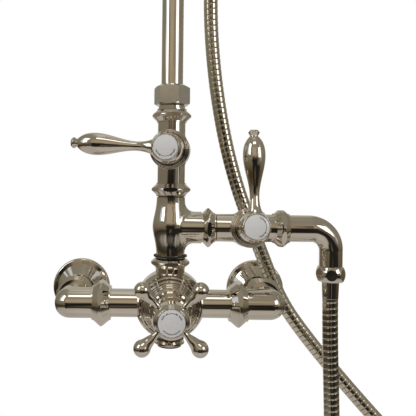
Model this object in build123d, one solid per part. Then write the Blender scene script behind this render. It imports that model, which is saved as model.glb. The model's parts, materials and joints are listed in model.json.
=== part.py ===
from build123d import *
import os
from math import cos, pi, radians, sin, sqrt, tan

# Exposed thermostatic shower column with a rain rose, a hand shower and its hose.
# Millimetres, +Z up. The wall face is y = 0 and the front looks towards -Y.
# The origin lies on the wall, midway between the hot and the cold inlet.

# Layout
INLET_SPACING = 203.2
WALL_TO_AXIS = 80.0
SLIP = 0.2
RUN = 0.3
ROUND = 1.0
BORE_R = 9.5

# Mixer chamber, its arms, neck and foot
CHAMBER_R = 34.7
CHAMBER_BACK = 26.0
CHAMBER_FRONT = 17.0
CHAMBER_FRONT_R = 31.5
CHAMBER_ROUND = 8.0
ARM_R = 14.1
NECK_R = 14.8
NECK_TOP = 35.7
FOOT_R = 14.8
FOOT_DEPTH = 35.0
PLUG_SPIGOT = 6.0

# Thermostat
THERMO_R = 17.0
THERMO_BACK = 20.0
THERMO_FRONT = 13.0
THERMO_SPINDLE_R = 5.0
THERMO_FLANGE_R = 10.0
THERMO_FLANGE = 3.0
THERMO_CAP = 2.0
PORT_R = 6.0
BONNET_RIM_R = 30.0
BONNET_STEP_R = 26.8
BONNET_WAIST_R = 19.6
BONNET_RING_R = 16.8
BONNET_NOSE_R = 12.9
BONNET_RIM = 3.6
BONNET_STEP = 3.4
BONNET_BELL = 11.6
BONNET_TREADS = 3
BONNET_TREAD = 2.4
BONNET_TREAD_DROP = 1.5
BONNET_TREAD_EDGE = 0.5
BONNET_RING = 6.4
BONNET_NOSE = 4.0

# Cross handle
CROSS_HUB = 27.4
CROSS_HUB_R = 17.6
CROSS_CHEEK_R = 16.2
CROSS_CHEEK = 3.6
CROSS_RIM_R = 13.5
CROSS_THROAT_R = 12.6
CROSS_ARM_AT = 15.4
CROSS_BALL_R = 7.8
CROSS_BALL_AT = 36.8
CROSS_ARM_NECK_R = 2.8
CROSS_ARM_ROOT_R = 5.2
CROSS_ARM_SWELL_R = 4.7
CROSS_BALL_FROM = 60.0
HUB_ROUND = 3.0
HUB_EDGE = 0.6
HANDLE_GAP = 0.6
HANDLE_WEB = 3.0
HANDLE_SCREW_R = 2.3
HANDLE_SCREW_HEAD_R = 5.0
HANDLE_SCREW_HEAD = 3.0
HANDLE_SCREW_GRIP = 10.0
CROSS_BUTTON_R = 12.0
BUTTON_EDGE = 4.6
BUTTON_CROWN = 1.5
BUTTON_SEAT = 4.0

# Bead nuts: turned double cones with six lens-shaped flats
MIXER_BEAD = 12.4
MIXER_BEAD_TURN = 3.0
RAIN_BEAD = 13.6
RAIN_NUT_TURN = -3.0
RAIN_TOP_TURN = 4.0
BRANCH_BEAD = 13.8
BRANCH_BEAD_TURN = 0.0
OUTLET_BEAD = 15.8
BEAD_RIDGE_R = 20.7
BEAD_FLATS = 36.8
BEAD_END_R = 15.0
BEAD_LIP = 1.2
BEAD_ROUND = 2.0
BEAD_THREAD_R = 12.2
FOOT_BEAD_R = 16.4
FOOT_BEAD_FLATS = 30.0
FOOT_BEAD = 7.6
FOOT_BEAD_ROUND = 1.0
FOOT_BEAD_TURN = 30.0

# Inlet unions and wall elbows
UNION_START = 60.0
UNION_LENGTH = 18.5
UNION_RIDGE_R = 24.1
UNION_FLATS = 43.6
UNION_END_R = 17.4
UNION_TURN = 28.0
UNION_FACE = 3.0
UNION_COLLAR = 2.6
UNION_COLLAR_R = 15.0
WASHER = 2.0
ELBOW_R = 15.5
ELBOW_LEG = 28.0
ELBOW_SPIGOT_R = 13.2
TAIL_NUT = 14.0
TAIL_NUT_R = 22.0
TAIL_NUT_FLATS = 40.4
TAIL_R = 10.65
TAIL_BORE_R = 8.0
TAIL_SOCKET_R = 13.0
TAIL_SOCKET = 16.0
INLET_HOLE_R = 9.5
FLANGE_R = 33.0
FLANGE_RIM = 5.0
FLANGE_RISE = 15.0
FLANGE_CONE_R = 27.0
FLANGE_TOP_R = 16.5
CHECK_VALVE = 12.0
CHECK_VALVE_BORE_R = 6.0

# Tee
SEAL = 1.4
SEAL_R = 17.0
SEAM = 1.0
SEAM_R = 13.2
TEE_R = 14.4
TEE_HEIGHT = 58.7
TEE_BELLY_R = 18.4
TEE_BRANCH_AT = 28.1
BRANCH_R = 16.1
BRANCH_REACH = 31.2
BRANCH_FILLET = 9.5

# Lever valves
VALVE_R = 14.0
VALVE_BALL_R = 19.4
VALVE_BLEND = 9.0
RAIN_HALF_IN = 33.0
RAIN_HALF_OUT = 28.0
HAND_HALF_IN = 32.4
HAND_HALF_OUT = 25.9
RAIN_TURN = -8.0
HAND_TURN = -6.0
VALVE_BOSS_R = 19.0
VALVE_BOSS = 16.0
CARTRIDGE_R = 11.0
CARTRIDGE_BACK = 9.0
ROTOR_R = 8.6
ROTOR = 4.0
ROTOR_FLOOR = 2.5
SPINDLE_R = 4.0
COLLAR_RINGS = (19.8, 18.7, 17.4, 13.8)
COLLAR_RING = 2.7

# Lever handles
LEVER_HUB = 22.0
LEVER_HUB_R = 15.2
LEVER_CHEEK_R = 14.5
LEVER_CHEEK = 5.0
LEVER_RIM_R = 12.9
LEVER_BUTTON_R = 11.5
LEVER_AXIS_AT = 11.4
LEVER_ROOT_R = 9.4
LEVER_FLARE_R = 6.9
LEVER_NECK_R = 4.5
LEVER_BULB_R = 10.7
LEVER_LENGTH = 93.0
LEVER_FINIAL_R = 5.65
LEVER_FINIAL = 5.4
LEVER_FINIAL_ROUND = 0.8
LEVER_GROOVE = 0.4
LEVER_GROOVE_R = 3.8
RAIN_LEVER_RISE = 3.0
HAND_LEVER_RISE = 0.0

# Hand shower outlet and hose end
OUTLET_X = 163.6
OUTLET_BEND = 21.5
OUTLET_TUBE_R = 13.5
OUTLET_LEG_R = 11.5
OUTLET_WALL = 2.6
OUTLET_DROP = 37.6
HOSE_THREAD_R = 10.2
HOSE_NUT = 14.8
HOSE_NUT_R = 14.4
HOSE_NUT_FLATS = 26.6
HOSE_NUT_LIP = 1.6
HOSE_NUT_TURN = -13.5
HOSE_NUT_GAP = 0.6
FERRULE_R = 8.45
FERRULE_END_R = 7.9
FERRULE = 17.6
FERRULE_HEAD = 1.8
HOSE_WASHER = 1.6

# Hose
HOSE_R = 7.75
HOSE_VALLEY_R = 6.95
HOSE_BORE_R = 5.0
HOSE_RIBS = 196
HOSE_DROP = 39.0
HOSE_RISE = 31.0
HOSE_TOP = 520.0

# Riser, wall bracket and shower arm
RISER_R = 11.0
RISER_WALL = 1.2
RISER_SOCKET = 13.0
RISER_TOP = 1000.0
RISER_NUT = 21.6
RISER_NUT_FLATS = 32.0
RISER_NUT_TURN = -11.0
RISER_NUT_CHAMFER = 3.0
RISER_NUT_END_R = 13.4
RISER_NUT_LIP = 8.0
OLIVE = 4.0
NUT_GAP = 2.8
NUT_COLLAR_R = 13.5
BRACKET_Z = 920.0
BRACKET_RING_R = 17.0
BRACKET_RING = 22.0
BRACKET_ROD_R = 8.0
BRACKET_FLANGE_R = 30.0
BRACKET_FLANGE = 10.0
BRACKET_SOCKET = 7.0
BRACKET_PCD = 43.0
BRACKET_HOLES = 3
BRACKET_HOLE_R = 2.75
COUPLING = 34.0
COUPLING_WEB = 4.0
SHOWER_ARM_REACH = 380.0
SHOWER_ARM_RISE = 112.0
SHOWER_ARM_BEND = 72.0
SHOWER_ARM_DROP = 84.0

# Rain rose and its ball joint
BALL_R = 9.0
BALL_NECK_R = 5.5
BALL_NECK = 14.0
BALL_FLANGE_R = 13.4
BALL_FLANGE = 6.0
BALL_SPIGOT = 12.0
BALL_BORE_R = 3.4
SOCKET_R = 15.0
SOCKET_TOP = 7.0
SOCKET_LIP_R = 8.6
SOCKET_LIP = 3.0
SOCKET_FLARE = 1.4
SOCKET_FOOT = 11.0
SOCKET_SPIGOT_R = 10.0
SOCKET_SPIGOT = 8.0
ROSE_R = 100.0
ROSE_NECK_R = 15.0
ROSE_NECK = 5.0
ROSE_RISE = 30.0
ROSE_RIM = 9.0
ROSE_WALL = 2.2
ROSE_FACE = 3.0
NOZZLE_R = 1.9
NOZZLE_TIP_R = 1.1
NOZZLE = 2.2
NOZZLE_STEP = 15.5
NOZZLE_RINGS = 5

# Cradle and handset
CRADLE_REACH = 44.0
CRADLE_HEIGHT = 24.0
CRADLE_RING_R = 16.0
CRADLE_CUP_R = 18.5
CRADLE_BRIDGE = 17.0
CRADLE_SLOT = 17.6
CRADLE_CUP_AT = 16.0
SCREW_R = 2.5
SCREW_HEAD_R = 6.0
SCREW_HEAD = 7.0
CONE_NUT = 48.0
CONE_NUT_R = 14.0
CONE_NUT_END_R = 8.8
CONE_THREAD = 16.0
CONE_THREAD_R = 10.0
STEM_RING_R = 14.2
STEM_WAIST_R = 11.8
STEM_LIP_R = 13.0
STEM_LIP = 2.4
STEM_RING = 18.0
STEM_R = 6.0
STEM_BORE_R = 4.2
GRIP = 84.0
GRIP_R = 14.2
GRIP_END_R = 11.6
HEAD_COLLAR_R = 12.8
HEAD_COLLAR = 10.0
HEAD_NECK_R = 8.6
HEAD_NECK_BORE_R = 5.6
HEAD_NECK_STRAIGHT = 16.0
HEAD_BEND = 30.0
HEAD_TURN = 110.0
HEAD_R = 34.0
HEAD_DEPTH = 26.0
HEAD_RIM = 6.0
HEAD_WALL = 2.0
HEAD_FACE = 3.0
HEAD_NOZZLE_RINGS = 3
HEAD_NOZZLE_STEP = 8.5

# Hose route between its straight ends: down, round the hanging loop and up behind the right valve
HOSE_LOOP = [
    (166.4, -79.8, -105.0), (168.0, -79.5, -180.0),
    (169.2, -79.0, -252.0), (171.0, -77.5, -323.0), (192.0, -75.0, -365.5), (228.0, -71.5, -390.5),
    (271.0, -67.5, -396.0), (311.0, -63.0, -380.0), (339.5, -58.0, -348.0), (350.0, -53.0, -306.0),
    (339.5, -47.5, -262.0), (300.0, -41.5, -213.0), (251.0, -36.0, -158.0), (207.5, -32.0, -110.5),
    (172.0, -30.5, -69.5), (148.0, -29.5, -39.5), (130.5, -28.3, -15.0), (116.0, -27.2, 14.0),
    (103.0, -27.2, 47.0), (88.0, -27.6, 84.5), (73.8, -28.0, 124.0), (61.8, -28.5, 168.0),
    (52.0, -29.5, 219.0), (45.5, -31.2, 271.0), (42.5, -35.0, 318.0), (42.4, -42.5, 368.0),
    (42.9, -54.0, 416.0), (43.6, -69.5, 457.0),
]

# Places worked out from the sizes
AXIS_Y = -WALL_TO_AXIS
MIXER_NUT_Z = NECK_TOP
SEAL_Z = MIXER_NUT_Z + MIXER_BEAD
TEE_Z = SEAL_Z + SEAL
BRANCH_Z = TEE_Z + TEE_BRANCH_AT
SEAM_Z = TEE_Z + TEE_HEIGHT
RAIN_NUT_Z = SEAM_Z + SEAM
RAIN_Z = RAIN_NUT_Z + RAIN_BEAD + RAIN_HALF_IN
RAIN_TOP_Z = RAIN_Z + RAIN_HALF_OUT
RISER_NUT_Z = RAIN_TOP_Z + RAIN_BEAD + NUT_GAP
SPIGOT_TOP_Z = RISER_NUT_Z + RISER_NUT - RISER_NUT_LIP - OLIVE
RISER_Z = SPIGOT_TOP_Z - RISER_SOCKET
BRANCH_SEAM_X = BRANCH_REACH + BRANCH_BEAD
HAND_X = BRANCH_SEAM_X + SEAM + HAND_HALF_IN
HAND_NUT_X = HAND_X + HAND_HALF_OUT
OUTLET_TUBE_X = HAND_NUT_X + OUTLET_BEAD
OUTLET_Z = BRANCH_Z - OUTLET_DROP
BONNET_NOSE_AT = (CHAMBER_FRONT + BONNET_RIM + BONNET_STEP + BONNET_BELL + BONNET_RING
                  + BONNET_NOSE)
CROSS_AT = BONNET_NOSE_AT + HANDLE_GAP
CROSS_FRONT = CROSS_AT + CROSS_HUB
COLLAR_FRONT = VALVE_BOSS + COLLAR_RING * len(COLLAR_RINGS)
LEVER_AT = COLLAR_FRONT + HANDLE_GAP
ELBOW_X = INLET_SPACING / 2
UNION_END = UNION_START + UNION_LENGTH
TAIL_NUT_AT = ELBOW_LEG
TAIL_END_AT = TAIL_NUT_AT + TAIL_NUT / 2
COUPLING_Z = RISER_TOP - (COUPLING - COUPLING_WEB) / 2
ARM_Z = RISER_TOP + COUPLING_WEB
BALL_Z = ARM_Z + SHOWER_ARM_RISE - SHOWER_ARM_DROP - BALL_NECK - BALL_FLANGE
ROSE_Y = AXIS_Y - SHOWER_ARM_REACH
ROSE_FACE_Z = -SOCKET_FOOT - RUN - ROSE_NECK - ROSE_RISE - ROSE_RIM
HANDSET = Pos(CRADLE_REACH, AXIS_Y, HOSE_TOP)
CRADLE_Z = HOSE_TOP + CRADLE_CUP_AT
STEM_Z = CONE_NUT
GRIP_Z = STEM_Z + STEM_RING
HEAD_Z = GRIP_Z + GRIP
HEAD_BASE = Pos(0, -HEAD_BEND * (1 - cos(radians(HEAD_TURN))),
                HEAD_Z + HEAD_COLLAR + HEAD_NECK_STRAIGHT + HEAD_BEND * sin(radians(HEAD_TURN)))
HEAD_AXIS = HEAD_BASE * Rot(HEAD_TURN, 0, 0)
HOSE_NUT_Z = OUTLET_Z - HOSE_NUT_GAP - HOSE_NUT
FERRULE_HEAD_Z = HOSE_NUT_Z + HOSE_NUT_LIP
FERRULE_END_Z = HOSE_NUT_Z - FERRULE

FRONT = Rot(90, 0, 0)
ALONG_X = Rot(0, 90, 0)
MIXER = Pos(0, AXIS_Y, 0)
COLUMN = Pos(0, AXIS_Y, 0)
RAIN_VALVE = Pos(0, AXIS_Y, RAIN_Z) * Rot(0, 0, RAIN_TURN)
HAND_VALVE = Pos(HAND_X, AXIS_Y, BRANCH_Z) * ALONG_X * Rot(0, 0, HAND_TURN)
ROSE = Pos(0, ROSE_Y, BALL_Z)


def turned(*outline):
    """Solid turned about Z from a closed outline of (radius, height[, corner round]) points."""
    face = make_face(Polyline(*[(point[0], 0, point[1]) for point in outline], close=True))
    for point in outline:
        if len(point) > 2:
            corner = face.vertices().sort_by_distance((point[0], 0, point[1]))[0]
            face = fillet(corner, point[2])
    return revolve(face, Axis.Z)


def rod(radius, start, end):
    """Plain cylinder along Z between two heights."""
    return Pos(0, 0, (start + end) / 2) * Cylinder(radius, end - start)


def ring(inner, outer, start, end):
    """Plain tube along Z between two heights."""
    return turned((inner, start), (outer, start), (outer, end), (inner, end))


def hexagon(across_flats, start, end):
    """Six-sided prism along Z between two heights."""
    return Pos(0, 0, start) * extrude(RegularPolygon(across_flats / 2, 6, major_radius=False), end - start)


def bead_nut(length, ridge_r, flats, end_r, bore_r, turn=0.0, ridge_round=BEAD_ROUND):
    """Union nut turned as a double cone, with six lens-shaped spanner flats on its rounded ridge."""
    body = turned((bore_r, 0), (end_r, 0), (end_r, BEAD_LIP), (ridge_r, length / 2, ridge_round),
                  (end_r, length - BEAD_LIP), (end_r, length), (bore_r, length))
    return body & (Rot(0, 0, turn) * hexagon(flats, 0, length))


def column_bead(length, turn):
    """Bead nut of the size used along the column and the hand shower branch."""
    return bead_nut(length, BEAD_RIDGE_R, BEAD_FLATS, BEAD_END_R, BEAD_THREAD_R + SLIP, turn)


def button(radius):
    """Porcelain index button with a slightly crowned face, its back on z = 0."""
    top = BUTTON_EDGE + BUTTON_CROWN
    crown_r = (radius ** 2 + BUTTON_CROWN ** 2) / (2 * BUTTON_CROWN)
    return rod(radius, 0, top) & (Pos(0, 0, top - crown_r) * Sphere(crown_r))


# Mixer

def mixer_body():
    chamber = FRONT * turned((0, -CHAMBER_BACK), (CHAMBER_R - CHAMBER_ROUND, -CHAMBER_BACK, CHAMBER_ROUND),
                             (CHAMBER_R, -CHAMBER_BACK + 2 * CHAMBER_ROUND, CHAMBER_ROUND),
                             (CHAMBER_R, CHAMBER_FRONT - CHAMBER_ROUND, CHAMBER_ROUND / 2),
                             (CHAMBER_FRONT_R, CHAMBER_FRONT), (0, CHAMBER_FRONT))
    arm_end = UNION_START + UNION_FACE + UNION_COLLAR
    arms = ALONG_X * rod(ARM_R, -arm_end, arm_end)
    for side in (-1, 1):
        inner, outer = sorted((side * (UNION_START + UNION_FACE), side * arm_end))
        arms += ALONG_X * rod(UNION_COLLAR_R, inner, outer)
    neck = rod(NECK_R, 0, NECK_TOP) + rod(BEAD_THREAD_R, NECK_TOP, SEAL_Z)
    foot = rod(FOOT_R, -FOOT_DEPTH, 0)
    bores = FRONT * rod(THERMO_R + SLIP, -THERMO_BACK, CHAMBER_FRONT)
    bores += ALONG_X * rod(BORE_R, -arm_end, arm_end)
    bores += rod(BORE_R, 0, SEAL_Z)
    bores += rod(BORE_R + SLIP, -FOOT_DEPTH, 0)
    return MIXER * (chamber + arms + neck + foot - bores)


def thermostat_cartridge():
    flange_at = THERMO_FRONT - THERMO_CAP - THERMO_FLANGE
    cap = THERMO_FRONT - THERMO_CAP + RUN
    shaft = THERMO_SPINDLE_R + RUN
    pocket = THERMO_FLANGE_R + RUN
    body = turned((0, -THERMO_BACK), (THERMO_R, -THERMO_BACK), (THERMO_R, THERMO_FRONT),
                  (shaft, THERMO_FRONT), (shaft, cap), (pocket, cap), (pocket, flange_at - RUN),
                  (0, flange_at - RUN))
    ports = ALONG_X * rod(PORT_R, -THERMO_R, THERMO_R) + Rot(90, 0, 0) * rod(PORT_R, -THERMO_R, 0)
    return MIXER * FRONT * (body - ports)


def mixer_bonnet():
    hole = THERMO_SPINDLE_R + RUN
    step_at = CHAMBER_FRONT + BONNET_RIM
    bell_at = step_at + BONNET_STEP
    ring_at = bell_at + BONNET_BELL
    nose_at = ring_at + BONNET_RING
    edge = BONNET_RIM / 3
    rim = [(BONNET_STEP_R - edge, 0, bell_at)]
    for index in range(BONNET_TREADS):
        radius = BONNET_STEP_R - edge - BONNET_TREAD_DROP * (index + 1)
        front = bell_at + BONNET_TREAD * (index + 1)
        rim += [(radius + BONNET_TREAD_EDGE, 0, front - BONNET_TREAD),
                (radius + BONNET_TREAD_EDGE, 0, front - BONNET_TREAD_EDGE), (radius, 0, front)]
    bell_r, _, bell_from = rim[-1]
    bell = ThreePointArc(rim[-1], ((bell_r + BONNET_WAIST_R) / 2 - edge / 2, 0, (bell_from + ring_at) / 2),
                         (BONNET_WAIST_R, 0, ring_at))
    outline = [Polyline((hole, 0, THERMO_FRONT), (THERMO_R, 0, THERMO_FRONT), (THERMO_R, 0, CHAMBER_FRONT),
                        (BONNET_RIM_R, 0, CHAMBER_FRONT), (BONNET_RIM_R, 0, step_at - edge),
                        (BONNET_RIM_R - edge, 0, step_at), (BONNET_STEP_R, 0, step_at),
                        (BONNET_STEP_R, 0, bell_at - edge), (BONNET_STEP_R - edge, 0, bell_at)),
               Polyline(*rim), bell,
               Polyline((BONNET_WAIST_R, 0, ring_at), (BONNET_RING_R, 0, ring_at),
                        (BONNET_RING_R, 0, nose_at - edge), (BONNET_RING_R - edge, 0, nose_at),
                        (BONNET_NOSE_R, 0, nose_at), (BONNET_NOSE_R, 0, BONNET_NOSE_AT),
                        (hole, 0, BONNET_NOSE_AT), (hole, 0, THERMO_FRONT))]
    return MIXER * FRONT * revolve(make_face(outline), Axis.Z)


def bottom_plug():
    bead = bead_nut(FOOT_BEAD, FOOT_BEAD_R, FOOT_BEAD_FLATS, BEAD_THREAD_R, 0, FOOT_BEAD_TURN,
                    FOOT_BEAD_ROUND)
    return MIXER * Pos(0, 0, -FOOT_DEPTH) * (Rot(180, 0, 0) * bead + rod(BORE_R, 0, PLUG_SPIGOT))


# Cross handle and its spindle

def thermostat_spindle():
    flange_at = THERMO_FRONT - THERMO_CAP - THERMO_FLANGE
    end = CROSS_FRONT - BUTTON_SEAT - HANDLE_SCREW_HEAD - HANDLE_WEB
    body = rod(THERMO_FLANGE_R, flange_at, flange_at + THERMO_FLANGE)
    body += rod(THERMO_SPINDLE_R, flange_at, end)
    return MIXER * FRONT * (body - rod(HANDLE_SCREW_R + SLIP, end - HANDLE_SCREW_GRIP, end))


def hub_pocket(front, back, spindle_r, button_r):
    """Spindle socket, screw hole and button recess of a handle hub, along Z."""
    web_top = front - BUTTON_SEAT - HANDLE_SCREW_HEAD
    web = web_top - HANDLE_WEB
    pocket = rod(spindle_r + SLIP, back, web) + rod(HANDLE_SCREW_R + SLIP, web, web_top)
    pocket += rod(HANDLE_SCREW_HEAD_R + SLIP, web_top, front - BUTTON_SEAT)
    return pocket + rod(button_r + SLIP, front - BUTTON_SEAT, front)


def cross_arm():
    """One handle arm along Z, a slim neck that swells into a ball."""
    start = CROSS_HUB_R / 2
    ball_from = radians(CROSS_BALL_FROM)
    meet = (CROSS_BALL_R * sin(ball_from), 0, CROSS_BALL_AT - CROSS_BALL_R * cos(ball_from))
    reach = meet[2] - CROSS_HUB_R
    swell = Spline((CROSS_ARM_ROOT_R, 0, start), (CROSS_ARM_NECK_R, 0, CROSS_HUB_R + reach * 0.12),
                   (CROSS_ARM_SWELL_R, 0, CROSS_HUB_R + reach * 0.6), meet,
                   tangents=[(-0.4, 0, 1), (cos(ball_from), 0, sin(ball_from))])
    tip = ThreePointArc(meet, (CROSS_BALL_R, 0, CROSS_BALL_AT), (0, 0, CROSS_BALL_AT + CROSS_BALL_R))
    outline = [Line((0, 0, start), (CROSS_ARM_ROOT_R, 0, start)), swell, tip,
               Line((0, 0, CROSS_BALL_AT + CROSS_BALL_R), (0, 0, start))]
    return revolve(make_face(outline), Axis.Z)


def cross_handle():
    waist = CROSS_AT + CROSS_HUB * 0.2
    brow = CROSS_AT + CROSS_HUB * 0.6
    hub = turned((0, CROSS_AT), (CROSS_THROAT_R, CROSS_AT), (CROSS_THROAT_R, waist, HUB_ROUND),
                 (CROSS_HUB_R, brow, HUB_ROUND), (CROSS_CHEEK_R, CROSS_FRONT - CROSS_CHEEK, HUB_ROUND),
                 (CROSS_RIM_R, CROSS_FRONT, HUB_EDGE), (0, CROSS_FRONT))
    arms = [Pos(0, 0, CROSS_AT + CROSS_ARM_AT) * Rot(0, 0, 45 + 90 * index) * ALONG_X * cross_arm()
            for index in range(4)]
    pocket = hub_pocket(CROSS_FRONT, CROSS_AT, THERMO_SPINDLE_R, CROSS_BUTTON_R)
    return MIXER * FRONT * (hub + arms - pocket)


def handle_screw(front):
    """Screw that draws a handle on to its spindle, along Z, below the button seat."""
    web_top = front - BUTTON_SEAT - HANDLE_SCREW_HEAD
    shank = rod(HANDLE_SCREW_R, web_top - HANDLE_WEB - HANDLE_SCREW_GRIP, web_top)
    return shank + rod(HANDLE_SCREW_HEAD_R, web_top, front - BUTTON_SEAT)


# Inlet unions, left is side -1 and right is side 1

def union_nut(side):
    body = bead_nut(UNION_LENGTH, UNION_RIDGE_R, UNION_FLATS, UNION_END_R, ARM_R + SLIP, -UNION_TURN * side)
    body -= rod(UNION_COLLAR_R + SLIP, UNION_FACE, UNION_LENGTH)
    return MIXER * Rot(0, 90 * side, 0) * Pos(0, 0, UNION_START) * body


def union_washer(side):
    start = UNION_START + UNION_FACE + UNION_COLLAR
    return MIXER * Rot(0, 90 * side, 0) * ring(BORE_R, UNION_COLLAR_R, start, start + WASHER)


def check_valve(side):
    end = UNION_START + UNION_FACE + UNION_COLLAR
    body = ring(CHECK_VALVE_BORE_R, BORE_R - SLIP, end - CHECK_VALVE, end)
    return MIXER * Rot(0, 90 * side, 0) * body


def wall_elbow(side):
    """Round elbow: a barrel from the union nut, a ball corner and a leg back towards the wall."""
    spigot_at = UNION_START + UNION_FACE + UNION_COLLAR + WASHER
    corner = Pos(0, 0, ELBOW_X)
    barrel = rod(ELBOW_R, UNION_END, ELBOW_X) + rod(UNION_COLLAR_R, spigot_at, UNION_END)
    leg = corner * Rot(-90, 0, 0) * (rod(ELBOW_R, 0, TAIL_NUT_AT)
                                     + rod(ELBOW_SPIGOT_R, TAIL_NUT_AT, TAIL_END_AT))
    bore = rod(BORE_R, spigot_at, ELBOW_X) + corner * Sphere(BORE_R)
    bore += corner * Rot(-90, 0, 0) * rod(BORE_R, 0, TAIL_END_AT)
    body = barrel + corner * Sphere(ELBOW_R) + leg - bore
    return MIXER * Rot(0, 90 * side, 0) * body


def tail_nut(side):
    body = bead_nut(TAIL_NUT, TAIL_NUT_R, TAIL_NUT_FLATS, UNION_END_R, TAIL_R + SLIP)
    body -= rod(ELBOW_SPIGOT_R + SLIP, 0, TAIL_NUT - UNION_FACE)
    return inlet_axis(side) * Pos(0, 0, TAIL_NUT_AT) * body


def inlet_axis(side):
    """Frame on an inlet axis at the pipe plane, with its Z towards the wall."""
    return Pos(side * ELBOW_X, AXIS_Y, 0) * Rot(-90, 0, 0)


def inlet_tail(side):
    """Tail that the tail nut holds, with a threaded socket at the wall."""
    collar_end = TAIL_NUT_AT + TAIL_NUT - UNION_FACE
    socket_at = WALL_TO_AXIS - TAIL_SOCKET
    body = rod(ELBOW_SPIGOT_R, TAIL_END_AT, collar_end) + rod(TAIL_R, TAIL_END_AT, socket_at)
    body += rod(TAIL_SOCKET_R, socket_at, WALL_TO_AXIS)
    body -= rod(TAIL_BORE_R, TAIL_END_AT, socket_at)
    return inlet_axis(side) * (body - rod(INLET_HOLE_R, socket_at, WALL_TO_AXIS))


def wall_flange(side):
    back = WALL_TO_AXIS
    bore = TAIL_SOCKET_R + SLIP
    body = turned((bore, back), (FLANGE_R, back), (FLANGE_R, back - FLANGE_RIM, FLANGE_RIM * 0.45),
                  (FLANGE_CONE_R, back - FLANGE_RIM - ROUND), (FLANGE_TOP_R, back - FLANGE_RISE, ROUND),
                  (bore, back - FLANGE_RISE))
    return inlet_axis(side) * body


# Column and tee

def mixer_outlet_nut():
    return COLUMN * Pos(0, 0, MIXER_NUT_Z) * column_bead(MIXER_BEAD, MIXER_BEAD_TURN)


def tee_seals():
    """The black rings at the three joints of the tee."""
    lower = COLUMN * ring(BORE_R, SEAL_R, SEAL_Z, TEE_Z)
    upper = COLUMN * ring(BORE_R, SEAM_R, SEAM_Z, RAIN_NUT_Z)
    side = Pos(0, AXIS_Y, BRANCH_Z) * ALONG_X * ring(BORE_R, SEAM_R, BRANCH_SEAM_X, BRANCH_SEAM_X + SEAM)
    return [lower, upper, side]


def tee():
    height = TEE_HEIGHT
    side = Pos(0, 0, TEE_BRANCH_AT) * ALONG_X
    belly = Spline((TEE_R, 0, 0), (TEE_BELLY_R, 0, TEE_BRANCH_AT), (TEE_R, 0, height),
                   tangents=[(0, 0, 1), (0, 0, 1)])
    core = Polyline((TEE_R, 0, height), (0, 0, height), (0, 0, 0), (TEE_R, 0, 0))
    upright = Rot(0, 0, 180) * revolve(make_face([belly, core]), Axis.Z)
    body = upright + side * rod(BRANCH_R, 0, BRANCH_REACH)
    crotch = body.edges().filter_by(lambda edge: edge.geom_type != GeomType.LINE
                                    and 1 < edge.center().X < BRANCH_REACH - 1
                                    and 1 < edge.center().Z < height - 1)
    body = fillet(crotch, BRANCH_FILLET) + side * rod(BEAD_THREAD_R, BRANCH_REACH, BRANCH_SEAM_X)
    bores = rod(BORE_R, 0, height) + side * rod(BORE_R, 0, BRANCH_SEAM_X)
    return COLUMN * Pos(0, 0, TEE_Z) * (body - bores)


def branch_nut():
    return Pos(BRANCH_REACH, AXIS_Y, BRANCH_Z) * ALONG_X * column_bead(BRANCH_BEAD, BRANCH_BEAD_TURN)


def hand_outlet_nut():
    return Pos(HAND_NUT_X, AXIS_Y, BRANCH_Z) * ALONG_X * column_bead(OUTLET_BEAD, UNION_TURN)


# Lever valves, with the pipe along Z and the spindle towards -Y

def valve_body(half_in, half_out, spigot_in, spigot_out):
    """Tube with a round middle, threaded ends and a boss for the cartridge."""
    meet = sqrt(VALVE_BALL_R ** 2 - VALVE_R ** 2)
    ball = ThreePointArc((VALVE_R, 0, -meet), (VALVE_BALL_R, 0, 0), (VALVE_R, 0, meet))
    outline = [Polyline((0, 0, -half_in), (VALVE_R, 0, -half_in), (VALVE_R, 0, -meet)), ball,
               Polyline((VALVE_R, 0, meet), (VALVE_R, 0, half_out), (0, 0, half_out), (0, 0, -half_in))]
    face = make_face(outline)
    for height in (-meet, meet):
        corner = face.vertices().sort_by_distance((VALVE_R, 0, height))[0]
        face = fillet(corner, VALVE_BLEND)
    body = revolve(face, Axis.Z) + FRONT * rod(VALVE_BOSS_R, 0, VALVE_BOSS)
    if spigot_in > 0:
        body += rod(BEAD_THREAD_R, -half_in - spigot_in, -half_in)
    body += rod(BEAD_THREAD_R, half_out, half_out + spigot_out)
    body -= rod(BORE_R, -half_in - spigot_in, half_out + spigot_out)
    body -= FRONT * rod(COLLAR_RINGS[0] + SLIP, VALVE_BOSS, 2 * VALVE_BOSS)
    return body - FRONT * rod(CARTRIDGE_R + SLIP, -CARTRIDGE_BACK, VALVE_BOSS)


def rain_valve_body():
    body = valve_body(RAIN_HALF_IN, RAIN_HALF_OUT, RAIN_BEAD, SPIGOT_TOP_Z - RAIN_TOP_Z)
    return RAIN_VALVE * (body - rod(RISER_R + SLIP, RISER_Z - RAIN_Z, SPIGOT_TOP_Z - RAIN_Z))


def hand_valve_body():
    return HAND_VALVE * valve_body(HAND_HALF_IN, HAND_HALF_OUT, 0, OUTLET_BEAD)


def valve_cartridge(place):
    floor = -CARTRIDGE_BACK + ROTOR_FLOOR
    shaft = SPINDLE_R + RUN
    roof = floor + ROTOR + 2 * RUN
    body = turned((0, -CARTRIDGE_BACK), (CARTRIDGE_R, -CARTRIDGE_BACK), (CARTRIDGE_R, VALVE_BOSS),
                  (shaft, VALVE_BOSS), (shaft, roof), (ROTOR_R + RUN, roof), (ROTOR_R + RUN, floor),
                  (0, floor))
    port = rod(ROTOR / 2, -CARTRIDGE_R, CARTRIDGE_R)
    return place * (FRONT * body - Pos(0, -(floor + roof) / 2, 0) * port)


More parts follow.
